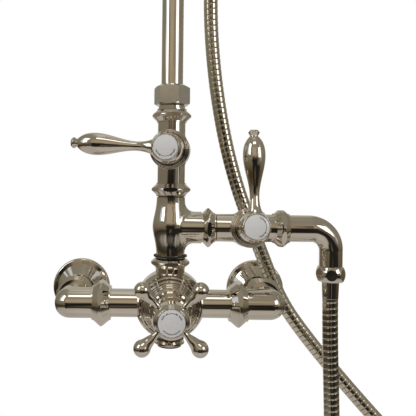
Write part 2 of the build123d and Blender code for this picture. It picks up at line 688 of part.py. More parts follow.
def valve_bonnet(place):
    """Stepped collar between the valve boss and the lever hub."""
    outline = [(SPINDLE_R + RUN, VALVE_BOSS)]
    for index, radius in enumerate(COLLAR_RINGS):
        front = VALVE_BOSS + COLLAR_RING * (index + 1)
        outline += [(radius, front - COLLAR_RING), (radius, front, COLLAR_RING / 4)]
    outline.append((SPINDLE_R + RUN, COLLAR_FRONT))
    return place * FRONT * turned(*outline)


def valve_spindle(place):
    start = -CARTRIDGE_BACK + ROTOR_FLOOR + RUN
    end = LEVER_AT + LEVER_HUB - BUTTON_SEAT - HANDLE_SCREW_HEAD - HANDLE_WEB
    body = rod(ROTOR_R, start, start + ROTOR) + rod(SPINDLE_R, start, end)
    return place * FRONT * (body - rod(HANDLE_SCREW_R + SLIP, end - HANDLE_SCREW_GRIP, end))


def lever():
    """Turned lever along Z from the hub axis: flared root, slim neck, bulb and finial."""
    finial_at = LEVER_LENGTH - LEVER_FINIAL
    bulb_end = finial_at - LEVER_GROOVE
    start = LEVER_HUB_R * 0.7
    curve = Spline((LEVER_ROOT_R, 0, start), (LEVER_FLARE_R, 0, LEVER_HUB_R),
                   ((LEVER_FLARE_R + 3 * LEVER_NECK_R) / 4, 0, LEVER_LENGTH * 0.23),
                   (LEVER_NECK_R, 0, LEVER_LENGTH * 0.32),
                   (LEVER_BULB_R * 0.72, 0, LEVER_LENGTH * 0.53), (LEVER_BULB_R, 0, LEVER_LENGTH * 0.75),
                   (LEVER_BULB_R * 0.84, 0, LEVER_LENGTH * 0.855), (LEVER_GROOVE_R, 0, bulb_end))
    outline = [Line((0, 0, start), (LEVER_ROOT_R, 0, start)), curve,
               Polyline((LEVER_GROOVE_R, 0, bulb_end), (LEVER_GROOVE_R, 0, finial_at), (0, 0, finial_at),
                        (0, 0, start))]
    lip = LEVER_LENGTH - LEVER_FINIAL * 0.4
    finial = turned((0, finial_at), (LEVER_GROOVE_R, finial_at), (LEVER_FINIAL_R, lip, LEVER_FINIAL_ROUND),
                    (LEVER_GROOVE_R, LEVER_LENGTH, LEVER_FINIAL_ROUND), (0, LEVER_LENGTH))
    return revolve(make_face(outline), Axis.Z) + finial


def lever_handle(place, rise):
    front = LEVER_AT + LEVER_HUB
    brow = LEVER_AT + LEVER_HUB * 0.3
    hub = turned((0, LEVER_AT), (LEVER_CHEEK_R, LEVER_AT, HUB_EDGE), (LEVER_HUB_R, brow, HUB_ROUND),
                 (LEVER_CHEEK_R, front - LEVER_CHEEK, HUB_ROUND), (LEVER_RIM_R, front, HUB_EDGE), (0, front))
    arm = Pos(0, 0, LEVER_AT + LEVER_AXIS_AT) * Rot(0, 0, -rise) * Rot(0, -90, 0) * lever()
    pocket = hub_pocket(front, LEVER_AT, SPINDLE_R, LEVER_BUTTON_R)
    return place * FRONT * (hub + arm - pocket)


def rain_inlet_nut():
    return COLUMN * Pos(0, 0, RAIN_NUT_Z) * column_bead(RAIN_BEAD, RAIN_NUT_TURN)


def rain_outlet_nut():
    """Upper bead of the rain valve, with the plain collar that meets the riser nut."""
    collar = ring(BEAD_THREAD_R + SLIP, NUT_COLLAR_R, RAIN_BEAD, RAIN_BEAD + NUT_GAP)
    return COLUMN * Pos(0, 0, RAIN_TOP_Z) * (column_bead(RAIN_BEAD, RAIN_TOP_TURN) + collar)


# Hand shower outlet and hose

def outlet_bend(tube_r, leg_r):
    """Elbow lofted round a quarter turn, from the tube radius down to the leg radius."""
    centre_x = OUTLET_X - OUTLET_BEND
    centre_z = BRANCH_Z - OUTLET_BEND
    steps = 5
    circles = []
    for index in range(steps):
        share = index / (steps - 1)
        angle = radians(90 * share)
        place = Plane(origin=(centre_x + OUTLET_BEND * sin(angle), AXIS_Y,
                              centre_z + OUTLET_BEND * cos(angle)),
                      x_dir=(0, 1, 0), z_dir=(cos(angle), 0, -sin(angle)))
        circles.append(place * Circle(tube_r + (leg_r - tube_r) * share))
    bend = loft(circles)
    tube = Pos(0, AXIS_Y, BRANCH_Z) * ALONG_X * rod(tube_r, OUTLET_TUBE_X, centre_x)
    return tube + bend + Pos(OUTLET_X, AXIS_Y, 0) * rod(leg_r, OUTLET_Z, centre_z)


def outlet_elbow():
    spigot_end = FERRULE_HEAD_Z + FERRULE_HEAD + HOSE_WASHER
    leg_bore = HOSE_THREAD_R - OUTLET_WALL
    spigot = Pos(OUTLET_X, AXIS_Y, 0) * ring(leg_bore, HOSE_THREAD_R, spigot_end, OUTLET_Z)
    body = outlet_bend(OUTLET_TUBE_R, OUTLET_LEG_R)
    return body - outlet_bend(OUTLET_TUBE_R - OUTLET_WALL, leg_bore) + spigot


def outlet_hose_nut():
    """Barrel nut with six round flats, a lip below and the outlet thread above."""
    half = HOSE_NUT / 2
    end_r = sqrt(HOSE_NUT_R ** 2 - half ** 2)
    barrel = ThreePointArc((end_r, 0, 0), (HOSE_NUT_R, 0, half), (end_r, 0, HOSE_NUT))
    outline = [Line((0, 0, 0), (end_r, 0, 0)), barrel,
               Polyline((end_r, 0, HOSE_NUT), (0, 0, HOSE_NUT), (0, 0, 0))]
    body = revolve(make_face(outline), Axis.Z)
    body &= Rot(0, 0, HOSE_NUT_TURN) * hexagon(HOSE_NUT_FLATS, 0, HOSE_NUT)
    body -= rod(FERRULE_R + SLIP, 0, HOSE_NUT_LIP)
    body -= rod(HOSE_THREAD_R + SLIP, HOSE_NUT_LIP, HOSE_NUT)
    return Pos(OUTLET_X, AXIS_Y, HOSE_NUT_Z) * body


def outlet_ferrule():
    top = FERRULE_HEAD_Z
    end = FERRULE_END_Z
    body = turned((HOSE_BORE_R, end), (FERRULE_END_R, end, ROUND / 2),
                  (FERRULE_R, top - HOSE_NUT_LIP - ROUND), (FERRULE_R, top), (HOSE_THREAD_R, top),
                  (HOSE_THREAD_R, top + FERRULE_HEAD), (HOSE_BORE_R, top + FERRULE_HEAD))
    return Pos(OUTLET_X, AXIS_Y, 0) * body


def outlet_washer():
    start = FERRULE_HEAD_Z + FERRULE_HEAD
    return Pos(OUTLET_X, AXIS_Y, 0) * ring(HOSE_BORE_R, HOSE_THREAD_R, start, start + HOSE_WASHER)


def hose_path():
    """Straight runs joined by tangent arcs, each as large as its two runs allow."""
    points = [Vector(OUTLET_X, AXIS_Y, FERRULE_END_Z), Vector(OUTLET_X, AXIS_Y, FERRULE_END_Z - HOSE_DROP)]
    points += [Vector(*point) for point in HOSE_LOOP]
    points += [Vector(CRADLE_REACH, AXIS_Y, HOSE_TOP - HOSE_RISE), Vector(CRADLE_REACH, AXIS_Y, HOSE_TOP)]
    radii = []
    for before, point, after in zip(points, points[1:], points[2:]):
        turn = (point - before).get_angle(after - point)
        shorter = min((point - before).length, (after - point).length)
        radii.append(0.45 * shorter / tan(radians(turn / 2)))
    print("hose radii", [round(radius) for radius in radii])
    return FilletPolyline(*points, radius=radii)


def hose_section(path, distance, radius):
    """Circle square to the path, with one steady X direction."""
    return Plane(origin=path @ (distance / path.length), x_dir=(0, 1, 0),
                 z_dir=path % (distance / path.length)) * Circle(radius)


def hose_gap(path):
    """Least gap between stretches of the hose that lie more than ten diameters apart along it."""
    step = HOSE_R
    places = [path @ (index * step / path.length) for index in range(int(path.length / step))]
    apart = 20
    least = min((places[first] - places[second]).length for first in range(len(places))
                for second in range(first + apart, len(places)))
    return least - 2 * HOSE_R


def shower_hose():
    path = hose_path()
    end = 2 * HOSE_R
    pitch = (path.length - 2 * end) / HOSE_RIBS
    rings = [(0, HOSE_VALLEY_R)]
    for index in range(HOSE_RIBS):
        start = end + index * pitch
        rings += [(start + pitch * share, radius) for share, radius in
                  ((0.08, HOSE_VALLEY_R), (0.3, HOSE_R), (0.7, HOSE_R), (0.92, HOSE_VALLEY_R))]
    rings.append((path.length, HOSE_VALLEY_R))
    tube = loft([hose_section(path, distance, radius) for distance, radius in rings], ruled=True)
    bore = loft([hose_section(path, distance, HOSE_BORE_R) for distance, radius in rings[::2]], ruled=True)
    hose = tube - bore
    mean_r = (HOSE_VALLEY_R + HOSE_R) / 2
    print("hose length", round(path.length, 1), "volume ratio",
          round(hose.volume / (pi * (mean_r ** 2 - HOSE_BORE_R ** 2) * path.length), 3),
          "least gap", round(hose_gap(path), 1))
    return hose


# Riser, wall bracket and shower arm

def riser_nut():
    top = RISER_NUT
    corner_r = RISER_NUT_FLATS / sqrt(3)
    cone = turned((0, 0), (RISER_NUT_END_R, 0), (corner_r, RISER_NUT_CHAMFER),
                  (corner_r, top - RISER_NUT_CHAMFER), (RISER_NUT_END_R, top), (0, top))
    body = cone & (Rot(0, 0, RISER_NUT_TURN) * hexagon(RISER_NUT_FLATS, 0, top))
    body -= rod(RISER_R + SLIP, 0, top)
    body -= rod(BEAD_THREAD_R + SLIP, 0, top - RISER_NUT_LIP)
    return COLUMN * Pos(0, 0, RISER_NUT_Z) * body


def riser_olive():
    start = SPIGOT_TOP_Z
    return COLUMN * turned((RISER_R + SLIP / 2, start), (BEAD_THREAD_R, start),
                           (BEAD_THREAD_R, start + OLIVE), (RISER_R + SLIP / 2, start + OLIVE))


def riser_tube():
    return COLUMN * ring(RISER_R - RISER_WALL, RISER_R, RISER_Z, RISER_TOP)


def clamp_screw_hole(height, ring_r):
    """Hole for a clamp screw on the left of a ring round the riser."""
    return Pos(0, 0, height) * Rot(0, -90, 0) * rod(SCREW_R + SLIP, RISER_R, ring_r)


def clamp_screw(height, ring_r):
    shank = rod(SCREW_R, RISER_R + SLIP, ring_r)
    head = turned((0, ring_r), (SCREW_R + ROUND, ring_r), (SCREW_HEAD_R, ring_r + SCREW_HEAD * 0.4),
                  (SCREW_HEAD_R, ring_r + SCREW_HEAD, ROUND), (0, ring_r + SCREW_HEAD))
    return COLUMN * Pos(0, 0, height) * Rot(0, -90, 0) * (shank + head)


def clamp_screws():
    return [clamp_screw(CRADLE_Z + CRADLE_HEIGHT / 2, CRADLE_RING_R),
            clamp_screw(BRACKET_Z, BRACKET_RING_R)]


def wall_bracket():
    half = BRACKET_RING / 2
    round_edge = BRACKET_RING / 5
    clamp = Pos(0, 0, BRACKET_Z) * turned((0, -half), (BRACKET_RING_R, -half, round_edge),
                                          (BRACKET_RING_R, half, round_edge), (0, half))
    end = WALL_TO_AXIS - BRACKET_FLANGE + BRACKET_SOCKET
    stay = Pos(0, 0, BRACKET_Z) * Rot(-90, 0, 0) * rod(BRACKET_ROD_R, 0, end)
    bore = rod(RISER_R + SLIP, BRACKET_Z - half, BRACKET_Z + half)
    return COLUMN * (clamp + stay - bore - Pos(0, 0, BRACKET_Z) * clamp_screw_hole(0, BRACKET_RING_R))


def bracket_flange():
    back = WALL_TO_AXIS
    front = back - BRACKET_FLANGE
    body = turned((0, back), (BRACKET_FLANGE_R, back),
                  (BRACKET_FLANGE_R, back - BRACKET_FLANGE * 0.4, ROUND),
                  (BRACKET_ROD_R * 1.5, front, ROUND), (0, front))
    body -= rod(BRACKET_ROD_R + SLIP, front, front + BRACKET_SOCKET)
    holes = PolarLocations(BRACKET_PCD / 2, BRACKET_HOLES, start_angle=90)
    for hole in holes:
        body -= hole * rod(BRACKET_HOLE_R, front, back)
    return COLUMN * Pos(0, 0, BRACKET_Z) * Rot(-90, 0, 0) * body


def arm_coupling():
    """Bead coupling between the riser and the shower arm, with a web between its two sockets."""
    body = bead_nut(COUPLING, BEAD_RIDGE_R, BEAD_FLATS, BEAD_END_R, RISER_R - RISER_WALL, RISER_NUT_TURN)
    depth = (COUPLING - COUPLING_WEB) / 2
    body -= rod(RISER_R + SLIP, 0, depth)
    body -= rod(RISER_R + SLIP, COUPLING - depth, COUPLING)
    return COLUMN * Pos(0, 0, COUPLING_Z) * body


def shower_arm():
    top = ARM_Z + SHOWER_ARM_RISE
    route = FilletPolyline((0, AXIS_Y, ARM_Z), (0, AXIS_Y, top), (0, ROSE_Y, top),
                           (0, ROSE_Y, top - SHOWER_ARM_DROP), radius=SHOWER_ARM_BEND)
    start = Plane(origin=(0, AXIS_Y, ARM_Z))
    return sweep(start * Circle(RISER_R), route) - sweep(start * Circle(RISER_R - RISER_WALL), route)


# Rain rose, about the centre of its ball

def rose_ball():
    meet = sqrt(BALL_R ** 2 - BALL_NECK_R ** 2)
    flange_top = BALL_NECK + BALL_FLANGE
    body = Sphere(BALL_R) + rod(BALL_NECK_R, meet / 2, BALL_NECK)
    body += rod(RISER_R - RISER_WALL - SLIP, BALL_NECK, flange_top + BALL_SPIGOT)
    body += turned((0, BALL_NECK), (BALL_FLANGE_R, BALL_NECK, HUB_EDGE),
                   (BALL_FLANGE_R, flange_top, HUB_EDGE), (0, flange_top))
    return ROSE * (body - rod(BALL_BORE_R, -BALL_R, flange_top + BALL_SPIGOT))


def rose_socket():
    """Cap nut that swings on the ball and carries the rose on its spigot."""
    body = turned((0, -SOCKET_FOOT), (SOCKET_R, -SOCKET_FOOT, ROUND),
                  (SOCKET_R, SOCKET_TOP * 0.4, 2 * ROUND), (SOCKET_LIP_R + SOCKET_LIP, SOCKET_TOP),
                  (0, SOCKET_TOP))
    body += rod(SOCKET_SPIGOT_R, -SOCKET_FOOT - SOCKET_SPIGOT, -SOCKET_FOOT)
    body -= Sphere(BALL_R + RUN)
    body -= turned((0, 0), (SOCKET_LIP_R, 0), (SOCKET_LIP_R + SOCKET_FLARE, SOCKET_TOP), (0, SOCKET_TOP))
    return ROSE * (body - rod(BALL_BORE_R, -SOCKET_FOOT - SOCKET_SPIGOT, 0))


def rose_shell():
    top = -SOCKET_FOOT - RUN
    shoulder = top - ROSE_NECK
    brim = shoulder - ROSE_RISE
    foot = brim - ROSE_RIM
    inner_r = ROSE_R - ROSE_WALL
    mid_r = ROSE_R * 0.52
    mid_z = shoulder - ROSE_RISE * 0.36
    dome = ThreePointArc((ROSE_NECK_R, 0, shoulder), (mid_r, 0, mid_z), (ROSE_R, 0, brim))
    under = ThreePointArc((inner_r, 0, brim - ROSE_WALL), (mid_r, 0, mid_z - ROSE_WALL * 1.2),
                          (SOCKET_SPIGOT_R + RUN, 0, shoulder - SOCKET_SPIGOT))
    hole = SOCKET_SPIGOT_R + RUN
    outline = [Polyline((hole, 0, top), (ROSE_NECK_R, 0, top), (ROSE_NECK_R, 0, shoulder)), dome,
               Polyline((ROSE_R, 0, brim), (ROSE_R, 0, foot), (inner_r, 0, foot),
                        (inner_r, 0, brim - ROSE_WALL)),
               under, Line((hole, 0, shoulder - SOCKET_SPIGOT), (hole, 0, top))]
    return ROSE * revolve(make_face(outline), Axis.Z)


def rose_face():
    radius = ROSE_R - ROSE_WALL - SLIP
    return ROSE * rod(radius, ROSE_FACE_Z, ROSE_FACE_Z + ROSE_FACE)


def nozzle_places(rings, step):
    """Centre and rings of six, twelve, eighteen and so on."""
    places = [Pos(0, 0, 0)]
    for number in range(1, rings + 1):
        places += list(PolarLocations(number * step, 6 * number))
    return places


def rose_nozzles():
    tip = turned((0, 0), (NOZZLE_R, 0), (NOZZLE_TIP_R, -NOZZLE), (0, -NOZZLE))
    face = ROSE * Pos(0, 0, ROSE_FACE_Z)
    return [face * place * tip for place in nozzle_places(NOZZLE_RINGS, NOZZLE_STEP)]


# Cradle and handset

def cone_radius(height):
    """Radius of the hose cone nut at a height above its lower end."""
    return CONE_NUT_END_R + (CONE_NUT_R - CONE_NUT_END_R) * height / CONE_NUT


def cradle():
    """Ring on the riser with a forked cup that the cone nut drops into."""
    plan = Circle(CRADLE_RING_R) + Pos(CRADLE_REACH, 0) * Circle(CRADLE_CUP_R)
    plan += Pos(CRADLE_REACH / 2, 0) * Rectangle(CRADLE_REACH, CRADLE_BRIDGE)
    body = Pos(0, 0, CRADLE_Z) * extrude(plan, CRADLE_HEIGHT)
    body -= rod(RISER_R + SLIP, CRADLE_Z, CRADLE_Z + CRADLE_HEIGHT)
    low = cone_radius(CRADLE_CUP_AT) + RUN
    high = cone_radius(CRADLE_CUP_AT + CRADLE_HEIGHT) + RUN
    cup = turned((0, 0), (low, 0), (high, CRADLE_HEIGHT), (0, CRADLE_HEIGHT))
    slot = Pos(CRADLE_REACH, -CRADLE_CUP_R / 2, CRADLE_Z + CRADLE_HEIGHT / 2) * Box(
        CRADLE_SLOT, CRADLE_CUP_R, CRADLE_HEIGHT)
    hole = clamp_screw_hole(CRADLE_Z + CRADLE_HEIGHT / 2, CRADLE_RING_R)
    return COLUMN * (body - Pos(CRADLE_REACH, 0, CRADLE_Z) * cup - slot - hole)


def handset_nut():
    body = turned((HOSE_BORE_R, 0), (CONE_NUT_END_R, 0, ROUND), (CONE_NUT_R, CONE_NUT, ROUND),
                  (HOSE_BORE_R, CONE_NUT))
    return HANDSET * (body - rod(CONE_THREAD_R + SLIP, CONE_NUT - CONE_THREAD, CONE_NUT))


def handset_stem():
    """Threaded end, turned rings and the core that runs up through the grip."""
    third = STEM_RING / 3
    body = turned((0, STEM_Z), (CONE_NUT_R - ROUND / 2, STEM_Z), (STEM_WAIST_R, STEM_Z + third * 0.5),
                  (STEM_RING_R, STEM_Z + third, ROUND), (STEM_WAIST_R, STEM_Z + 2 * third, ROUND),
                  (STEM_LIP_R, GRIP_Z - STEM_LIP, ROUND), (STEM_LIP_R, GRIP_Z), (0, GRIP_Z))
    body += rod(CONE_THREAD_R, STEM_Z - CONE_THREAD + WASHER, STEM_Z)
    body += rod(STEM_R, GRIP_Z, HEAD_Z + HEAD_COLLAR)
    return HANDSET * (body - rod(STEM_BORE_R, STEM_Z - CONE_THREAD, HEAD_Z + HEAD_COLLAR))


def handset_grip():
    """Porcelain sleeve, fullest at its middle."""
    inner = STEM_R + SLIP
    side = ThreePointArc((GRIP_END_R, 0, GRIP_Z), (GRIP_R, 0, GRIP_Z + GRIP / 2), (GRIP_END_R, 0, HEAD_Z))
    outline = [Polyline((inner, 0, HEAD_Z), (inner, 0, GRIP_Z), (GRIP_END_R, 0, GRIP_Z)), side,
               Line((GRIP_END_R, 0, HEAD_Z), (inner, 0, HEAD_Z))]
    return HANDSET * revolve(make_face(outline), Axis.Z)


def handset_head():
    """Collar, bent neck and bell, open at the front for the spray face."""
    collar = turned((0, HEAD_Z), (HEAD_COLLAR_R, HEAD_Z),
                    (HEAD_COLLAR_R, HEAD_Z + HEAD_COLLAR * 0.35, ROUND),
                    (HEAD_NECK_R, HEAD_Z + HEAD_COLLAR), (0, HEAD_Z + HEAD_COLLAR))
    neck_z = HEAD_Z + HEAD_COLLAR
    bend_z = neck_z + HEAD_NECK_STRAIGHT
    pivot = Axis((0, -HEAD_BEND, bend_z), (1, 0, 0))
    start = Pos(0, 0, bend_z)
    neck = rod(HEAD_NECK_R, neck_z, bend_z)
    neck += revolve(start * Circle(HEAD_NECK_R), pivot, HEAD_TURN)
    bore = rod(HEAD_NECK_BORE_R, neck_z, bend_z)
    bore += revolve(start * Circle(HEAD_NECK_BORE_R), pivot, HEAD_TURN)
    rim_at = HEAD_DEPTH - HEAD_RIM
    side = Spline((HEAD_NECK_R, 0, 0), (HEAD_R, 0, rim_at), tangents=[(0.25, 0, 1), (0.7, 0, 1)])
    outline = [Line((0, 0, 0), (HEAD_NECK_R, 0, 0)), side,
               Polyline((HEAD_R, 0, rim_at), (HEAD_R, 0, HEAD_DEPTH), (0, 0, HEAD_DEPTH), (0, 0, 0))]
    bell = revolve(make_face(outline), Axis.Z)
    inner_r = HEAD_R - HEAD_WALL
    hollow = turned((0, 0), (HEAD_NECK_BORE_R, 0), (inner_r * 0.72, rim_at),
                    (inner_r, HEAD_DEPTH - HEAD_FACE), (inner_r, HEAD_DEPTH), (0, HEAD_DEPTH))
    socket = rod(STEM_R + SLIP, HEAD_Z, HEAD_Z + HEAD_COLLAR)
    return HANDSET * (collar + neck + HEAD_AXIS * bell - bore - HEAD_AXIS * hollow - socket)


def handset_face():
    """Spray plate with its small nozzles."""
    plate = rod(HEAD_R - HEAD_WALL - SLIP, HEAD_DEPTH - HEAD_FACE, HEAD_DEPTH)
    tip = turned((0, HEAD_DEPTH), (NOZZLE_R, HEAD_DEPTH), (NOZZLE_TIP_R, HEAD_DEPTH + NOZZLE),
                 (0, HEAD_DEPTH + NOZZLE))
    tips = [place * tip for place in nozzle_places(HEAD_NOZZLE_RINGS, HEAD_NOZZLE_STEP)]
    return HANDSET * HEAD_AXIS * (plate + tips)


def handle_button(place, front, radius):
    return place * FRONT * Pos(0, 0, front - BUTTON_SEAT) * button(radius)


def pieces():
    """Every node of the column with its solid or group of solids."""
    lever_front = LEVER_AT + LEVER_HUB
    nodes = {
        "mixer_body": mixer_body(), "thermostat_cartridge": thermostat_cartridge(),
        "mixer_bonnet": mixer_bonnet(), "bottom_plug": bottom_plug(),
        "thermostat_spindle": thermostat_spindle(), "cross_handle": cross_handle(),
        "cross_handle_screw": MIXER * FRONT * handle_screw(CROSS_FRONT),
        "thermostat_button": handle_button(MIXER, CROSS_FRONT, CROSS_BUTTON_R),
        "union_nuts": [union_nut(-1), union_nut(1)], "union_washers": [union_washer(-1), union_washer(1)],
        "check_valves": [check_valve(-1), check_valve(1)], "tail_nuts": [tail_nut(-1), tail_nut(1)],
        "inlet_tails": [inlet_tail(-1), inlet_tail(1)],
        "wall_elbows": [wall_elbow(-1), wall_elbow(1)], "wall_flanges": [wall_flange(-1), wall_flange(1)],
        "mixer_outlet_nut": mixer_outlet_nut(), "tee_seals": tee_seals(), "tee": tee(),
        "branch_nut": branch_nut(),
        "rain_inlet_nut": rain_inlet_nut(),
        "rain_outlet_nut": rain_outlet_nut(),
        "rain_valve_body": rain_valve_body(), "hand_valve_body": hand_valve_body(),
        "hand_outlet_nut": hand_outlet_nut(),
        "outlet_elbow": outlet_elbow(), "outlet_hose_nut": outlet_hose_nut(),
        "outlet_ferrule": outlet_ferrule(), "outlet_washer": outlet_washer(), "shower_hose": shower_hose(),
        "riser_nut": riser_nut(), "riser_olive": riser_olive(), "riser_tube": riser_tube(),
        "wall_bracket": wall_bracket(), "bracket_flange": bracket_flange(), "clamp_screws": clamp_screws(),
        "arm_coupling": arm_coupling(), "shower_arm": shower_arm(),
        "rose_ball": rose_ball(), "rose_socket": rose_socket(), "rose_shell": rose_shell(),
        "rose_face": rose_face(), "rose_nozzles": rose_nozzles(),
        "cradle": cradle(), "handset_nut": handset_nut(), "handset_stem": handset_stem(),
        "handset_grip": handset_grip(), "handset_head": handset_head(), "handset_face": handset_face(),
    }
    for name, place, rise in (("rain", RAIN_VALVE, RAIN_LEVER_RISE), ("hand", HAND_VALVE, HAND_LEVER_RISE)):
        nodes[name + "_cartridge"] = valve_cartridge(place)
        nodes[name + "_bonnet"] = valve_bonnet(place)
        nodes[name + "_spindle"] = valve_spindle(place)
        nodes[name + "_lever"] = lever_handle(place, rise)
        nodes[name + "_lever_screw"] = place * FRONT * handle_screw(lever_front)
        nodes[name + "_button"] = handle_button(place, lever_front, LEVER_BUTTON_R)
    return nodes


def main():
    os.makedirs("parts", exist_ok=True)
    for name, shape in pieces().items():
        solids = shape if isinstance(shape, list) else [shape]
        export_step(Compound([solid for item in solids for solid in item.solids()]), f"parts/{name}.step")


main()
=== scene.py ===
import json
import math

import bmesh
import bpy
from bpy.props import FloatProperty, FloatVectorProperty, IntProperty, PointerProperty
from mathutils import Matrix, Vector
from mathutils.bvhtree import BVHTree


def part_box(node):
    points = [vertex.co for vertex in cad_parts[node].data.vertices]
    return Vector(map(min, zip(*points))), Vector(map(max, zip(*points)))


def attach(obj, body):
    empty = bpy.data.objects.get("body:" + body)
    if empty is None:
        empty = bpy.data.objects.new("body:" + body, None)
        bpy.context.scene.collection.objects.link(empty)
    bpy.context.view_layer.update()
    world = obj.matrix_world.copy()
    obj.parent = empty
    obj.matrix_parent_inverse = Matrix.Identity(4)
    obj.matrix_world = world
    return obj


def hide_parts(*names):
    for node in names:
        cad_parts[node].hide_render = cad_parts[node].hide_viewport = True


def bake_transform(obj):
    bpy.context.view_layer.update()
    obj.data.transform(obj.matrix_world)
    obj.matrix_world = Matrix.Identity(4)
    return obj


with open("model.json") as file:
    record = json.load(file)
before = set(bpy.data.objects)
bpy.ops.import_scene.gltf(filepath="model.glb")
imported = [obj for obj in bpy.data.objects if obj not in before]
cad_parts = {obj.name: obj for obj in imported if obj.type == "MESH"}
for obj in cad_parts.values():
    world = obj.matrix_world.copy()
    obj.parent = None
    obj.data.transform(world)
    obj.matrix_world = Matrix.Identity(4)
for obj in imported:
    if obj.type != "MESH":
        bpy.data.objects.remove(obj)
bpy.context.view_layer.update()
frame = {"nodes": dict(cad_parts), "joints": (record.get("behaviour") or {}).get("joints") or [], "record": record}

bl_info = {
    "name": "Shower column dressing",
    "version": (1, 0, 0),
    "blender": (4, 5, 0),
    "location": "View3D > Sidebar > Shower",
    "description": "Finishes, hose, button rims and marks, screws, spray holes and studio of a shower column",
    "category": "Object",
}

SLOT_OF = {part["node"]: part["material_slot"] for part in frame["record"]["subparts"]}
JOINTS = {joint["name"]: joint for joint in frame["joints"]}
MM = 0.001

# Angle between faces that makes a crease, and distance at which vertices are welded
CREASE = math.radians(38)
WELD = 0.02 * MM

# Search rays that find the surface of a handle start this far from its joint, along the axis and to the side
RAY_AHEAD = 0.2
RAY_ASIDE = 0.05

# Grub screws: radius, lift above the handle, then shares of the radius and of the lift
GRUB_RADIUS = 1.9 * MM
GRUB_LIFT = 0.35 * MM
GRUB_FACE = 0.86
GRUB_SOCKET = 0.52
GRUB_CHAMFER = 0.35
GRUB_FOOT = 2.0
GRUB_SOCKET_DEPTH = 0.7

# Spray holes of the hand shower, drawn as thin discs of painted shade on the nozzle tips
SPRAY_HOLE_RADIUS = 0.6 * MM
SPRAY_HOLE_DEPTH = 0.1 * MM
# Faces that end a nozzle: cosine to the spray direction, depth below the crest, distance within one nozzle
SAME_WAY = 0.99
NOZZLE_TIP = 0.05 * MM
NOZZLE_APART = 2.5 * MM

# Across one turn of the hose strip: share of the pitch, share of the groove depth
BAND_OUTLINE = ((0.0, 1.0), (0.03, 0.5), (0.065, 0.14), (0.11, 0.01), (0.17, 0.0), (0.83, 0.0), (0.89, 0.01),
                (0.935, 0.14), (0.97, 0.5), (1.0, 1.0))
# Share of the groove depth below which the hose gets painted shade
SHADED_GROOVE_SHARE = 0.9

# The three handles: joint, body, node of the handle
HANDLES = {"thermostat": ("thermostat_turn", "thermostat", "cross_handle"),
           "rain": ("rain_lever_turn", "rain_handle", "rain_lever"),
           "hand": ("hand_lever_turn", "hand_handle", "hand_lever")}
# Printed marks of each button in degrees: arcs (start, end), rows of ticks (start, end, count)
BUTTON_ARCS = {"thermostat": (62, 118), "rain": (232, 308), "hand": (-36, 38)}
BUTTON_TICKS = {"thermostat": ((22, 46, 6), (134, 158, 6), (220, 320, 19)),
                "rain": ((199, 219, 5), (321, 345, 6)),
                "hand": ((51, 71, 5), (-75, -51, 6))}
# Width and length of an arrowhead as shares of its radius, width of a tick as a share of the line
ARROW_SHAPE = (0.8, 1.15)
TICK_WIDTH = 0.9
# Steps along a printed arc and around a rim
ARC_STEPS = 28
RIM_STEPS = 72
# Seat of each grub screw: angle around the joint in degrees, distance out along it
GRUB_SEATS = {"rain": (270, 0.041), "hand": (180, 0.041), "thermostat": (270, 0.060)}

# Room that the metal mirrors: colours by degrees above the horizon, at the sides, in front and behind
WALL_TONES = (
    (-90, (0.46, 0.43, 0.41)), (-50, (0.50, 0.465, 0.42)), (-32, (0.46, 0.43, 0.385)),
    (-27, (0.30, 0.27, 0.235)), (-23, (0.08, 0.07, 0.055)), (-16, (0.035, 0.029, 0.02)),
    (-12, (0.10, 0.07, 0.035)), (-7, (0.16, 0.13, 0.085)), (0, (0.21, 0.185, 0.135)),
    (10, (0.25, 0.225, 0.17)), (25, (0.25, 0.23, 0.18)), (60, (0.28, 0.26, 0.21)),
    (72, (0.30, 0.27, 0.21)), (80, (0.45, 0.43, 0.37)), (87, (0.62, 0.60, 0.55)))
FRONT_TONES = (
    (-90, (0.55, 0.51, 0.465)), (-50, (0.53, 0.485, 0.43)), (-36, (0.50, 0.46, 0.41)),
    (-31, (0.08, 0.075, 0.065)), (-27, (0.016, 0.015, 0.013)), (1, (0.016, 0.015, 0.013)),
    (4, (0.05, 0.04, 0.027)), (7, (0.17, 0.135, 0.095)), (10, (0.36, 0.30, 0.215)),
    (15, (0.45, 0.38, 0.275)), (31, (0.44, 0.37, 0.262)), (37, (0.31, 0.27, 0.195)),
    (46, (0.30, 0.275, 0.225)), (70, (0.295, 0.27, 0.214)), (80, (0.45, 0.43, 0.37)),
    (87, (0.62, 0.60, 0.55)))
BACK_TONES = (
    (-90, (0.46, 0.43, 0.41)), (-30, (0.50, 0.47, 0.43)), (0, (0.52, 0.51, 0.48)),
    (30, (0.47, 0.455, 0.40)), (62, (0.47, 0.455, 0.40)), (70, (0.62, 0.60, 0.55)),
    (87, (0.62, 0.60, 0.55)))
# Turn from the front in radians where front and back begin and end, with the softness of the edge
FRONT_TURN = (-0.52, 0.52, 0.06)
BACK_TURN = (-2.62, 2.62, 0.08)
# Things in the room: turn (start, end, softness), height (start, end, softness), colour
ROOM_THINGS = (
    ((0.40, 1.03, 0.05), (-0.41, -0.10, 0.04), (0.022, 0.02, 0.018)),
    ((-0.15, 0.11, 0.07), (-0.38, -0.18, 0.08), (0.11, 0.088, 0.064)),
    ((0.27, 0.37, 0.03), (0.02, 0.48, 0.12), (0.15, 0.11, 0.08)),
    ((1.03, 1.20, 0.03), (0.0, 0.65, 0.06), (0.62, 0.64, 0.69)),
    ((-1.40, -1.10, 0.03), (0.2, 0.72, 0.04), (0.72, 0.76, 0.82)))
# Noise that makes the edges in the room uneven: its scale, and its reach in turn and in height
CLUTTER_SCALE = 8.0
CLUTTER_TURN = 0.6
CLUTTER_HEIGHT = 0.16
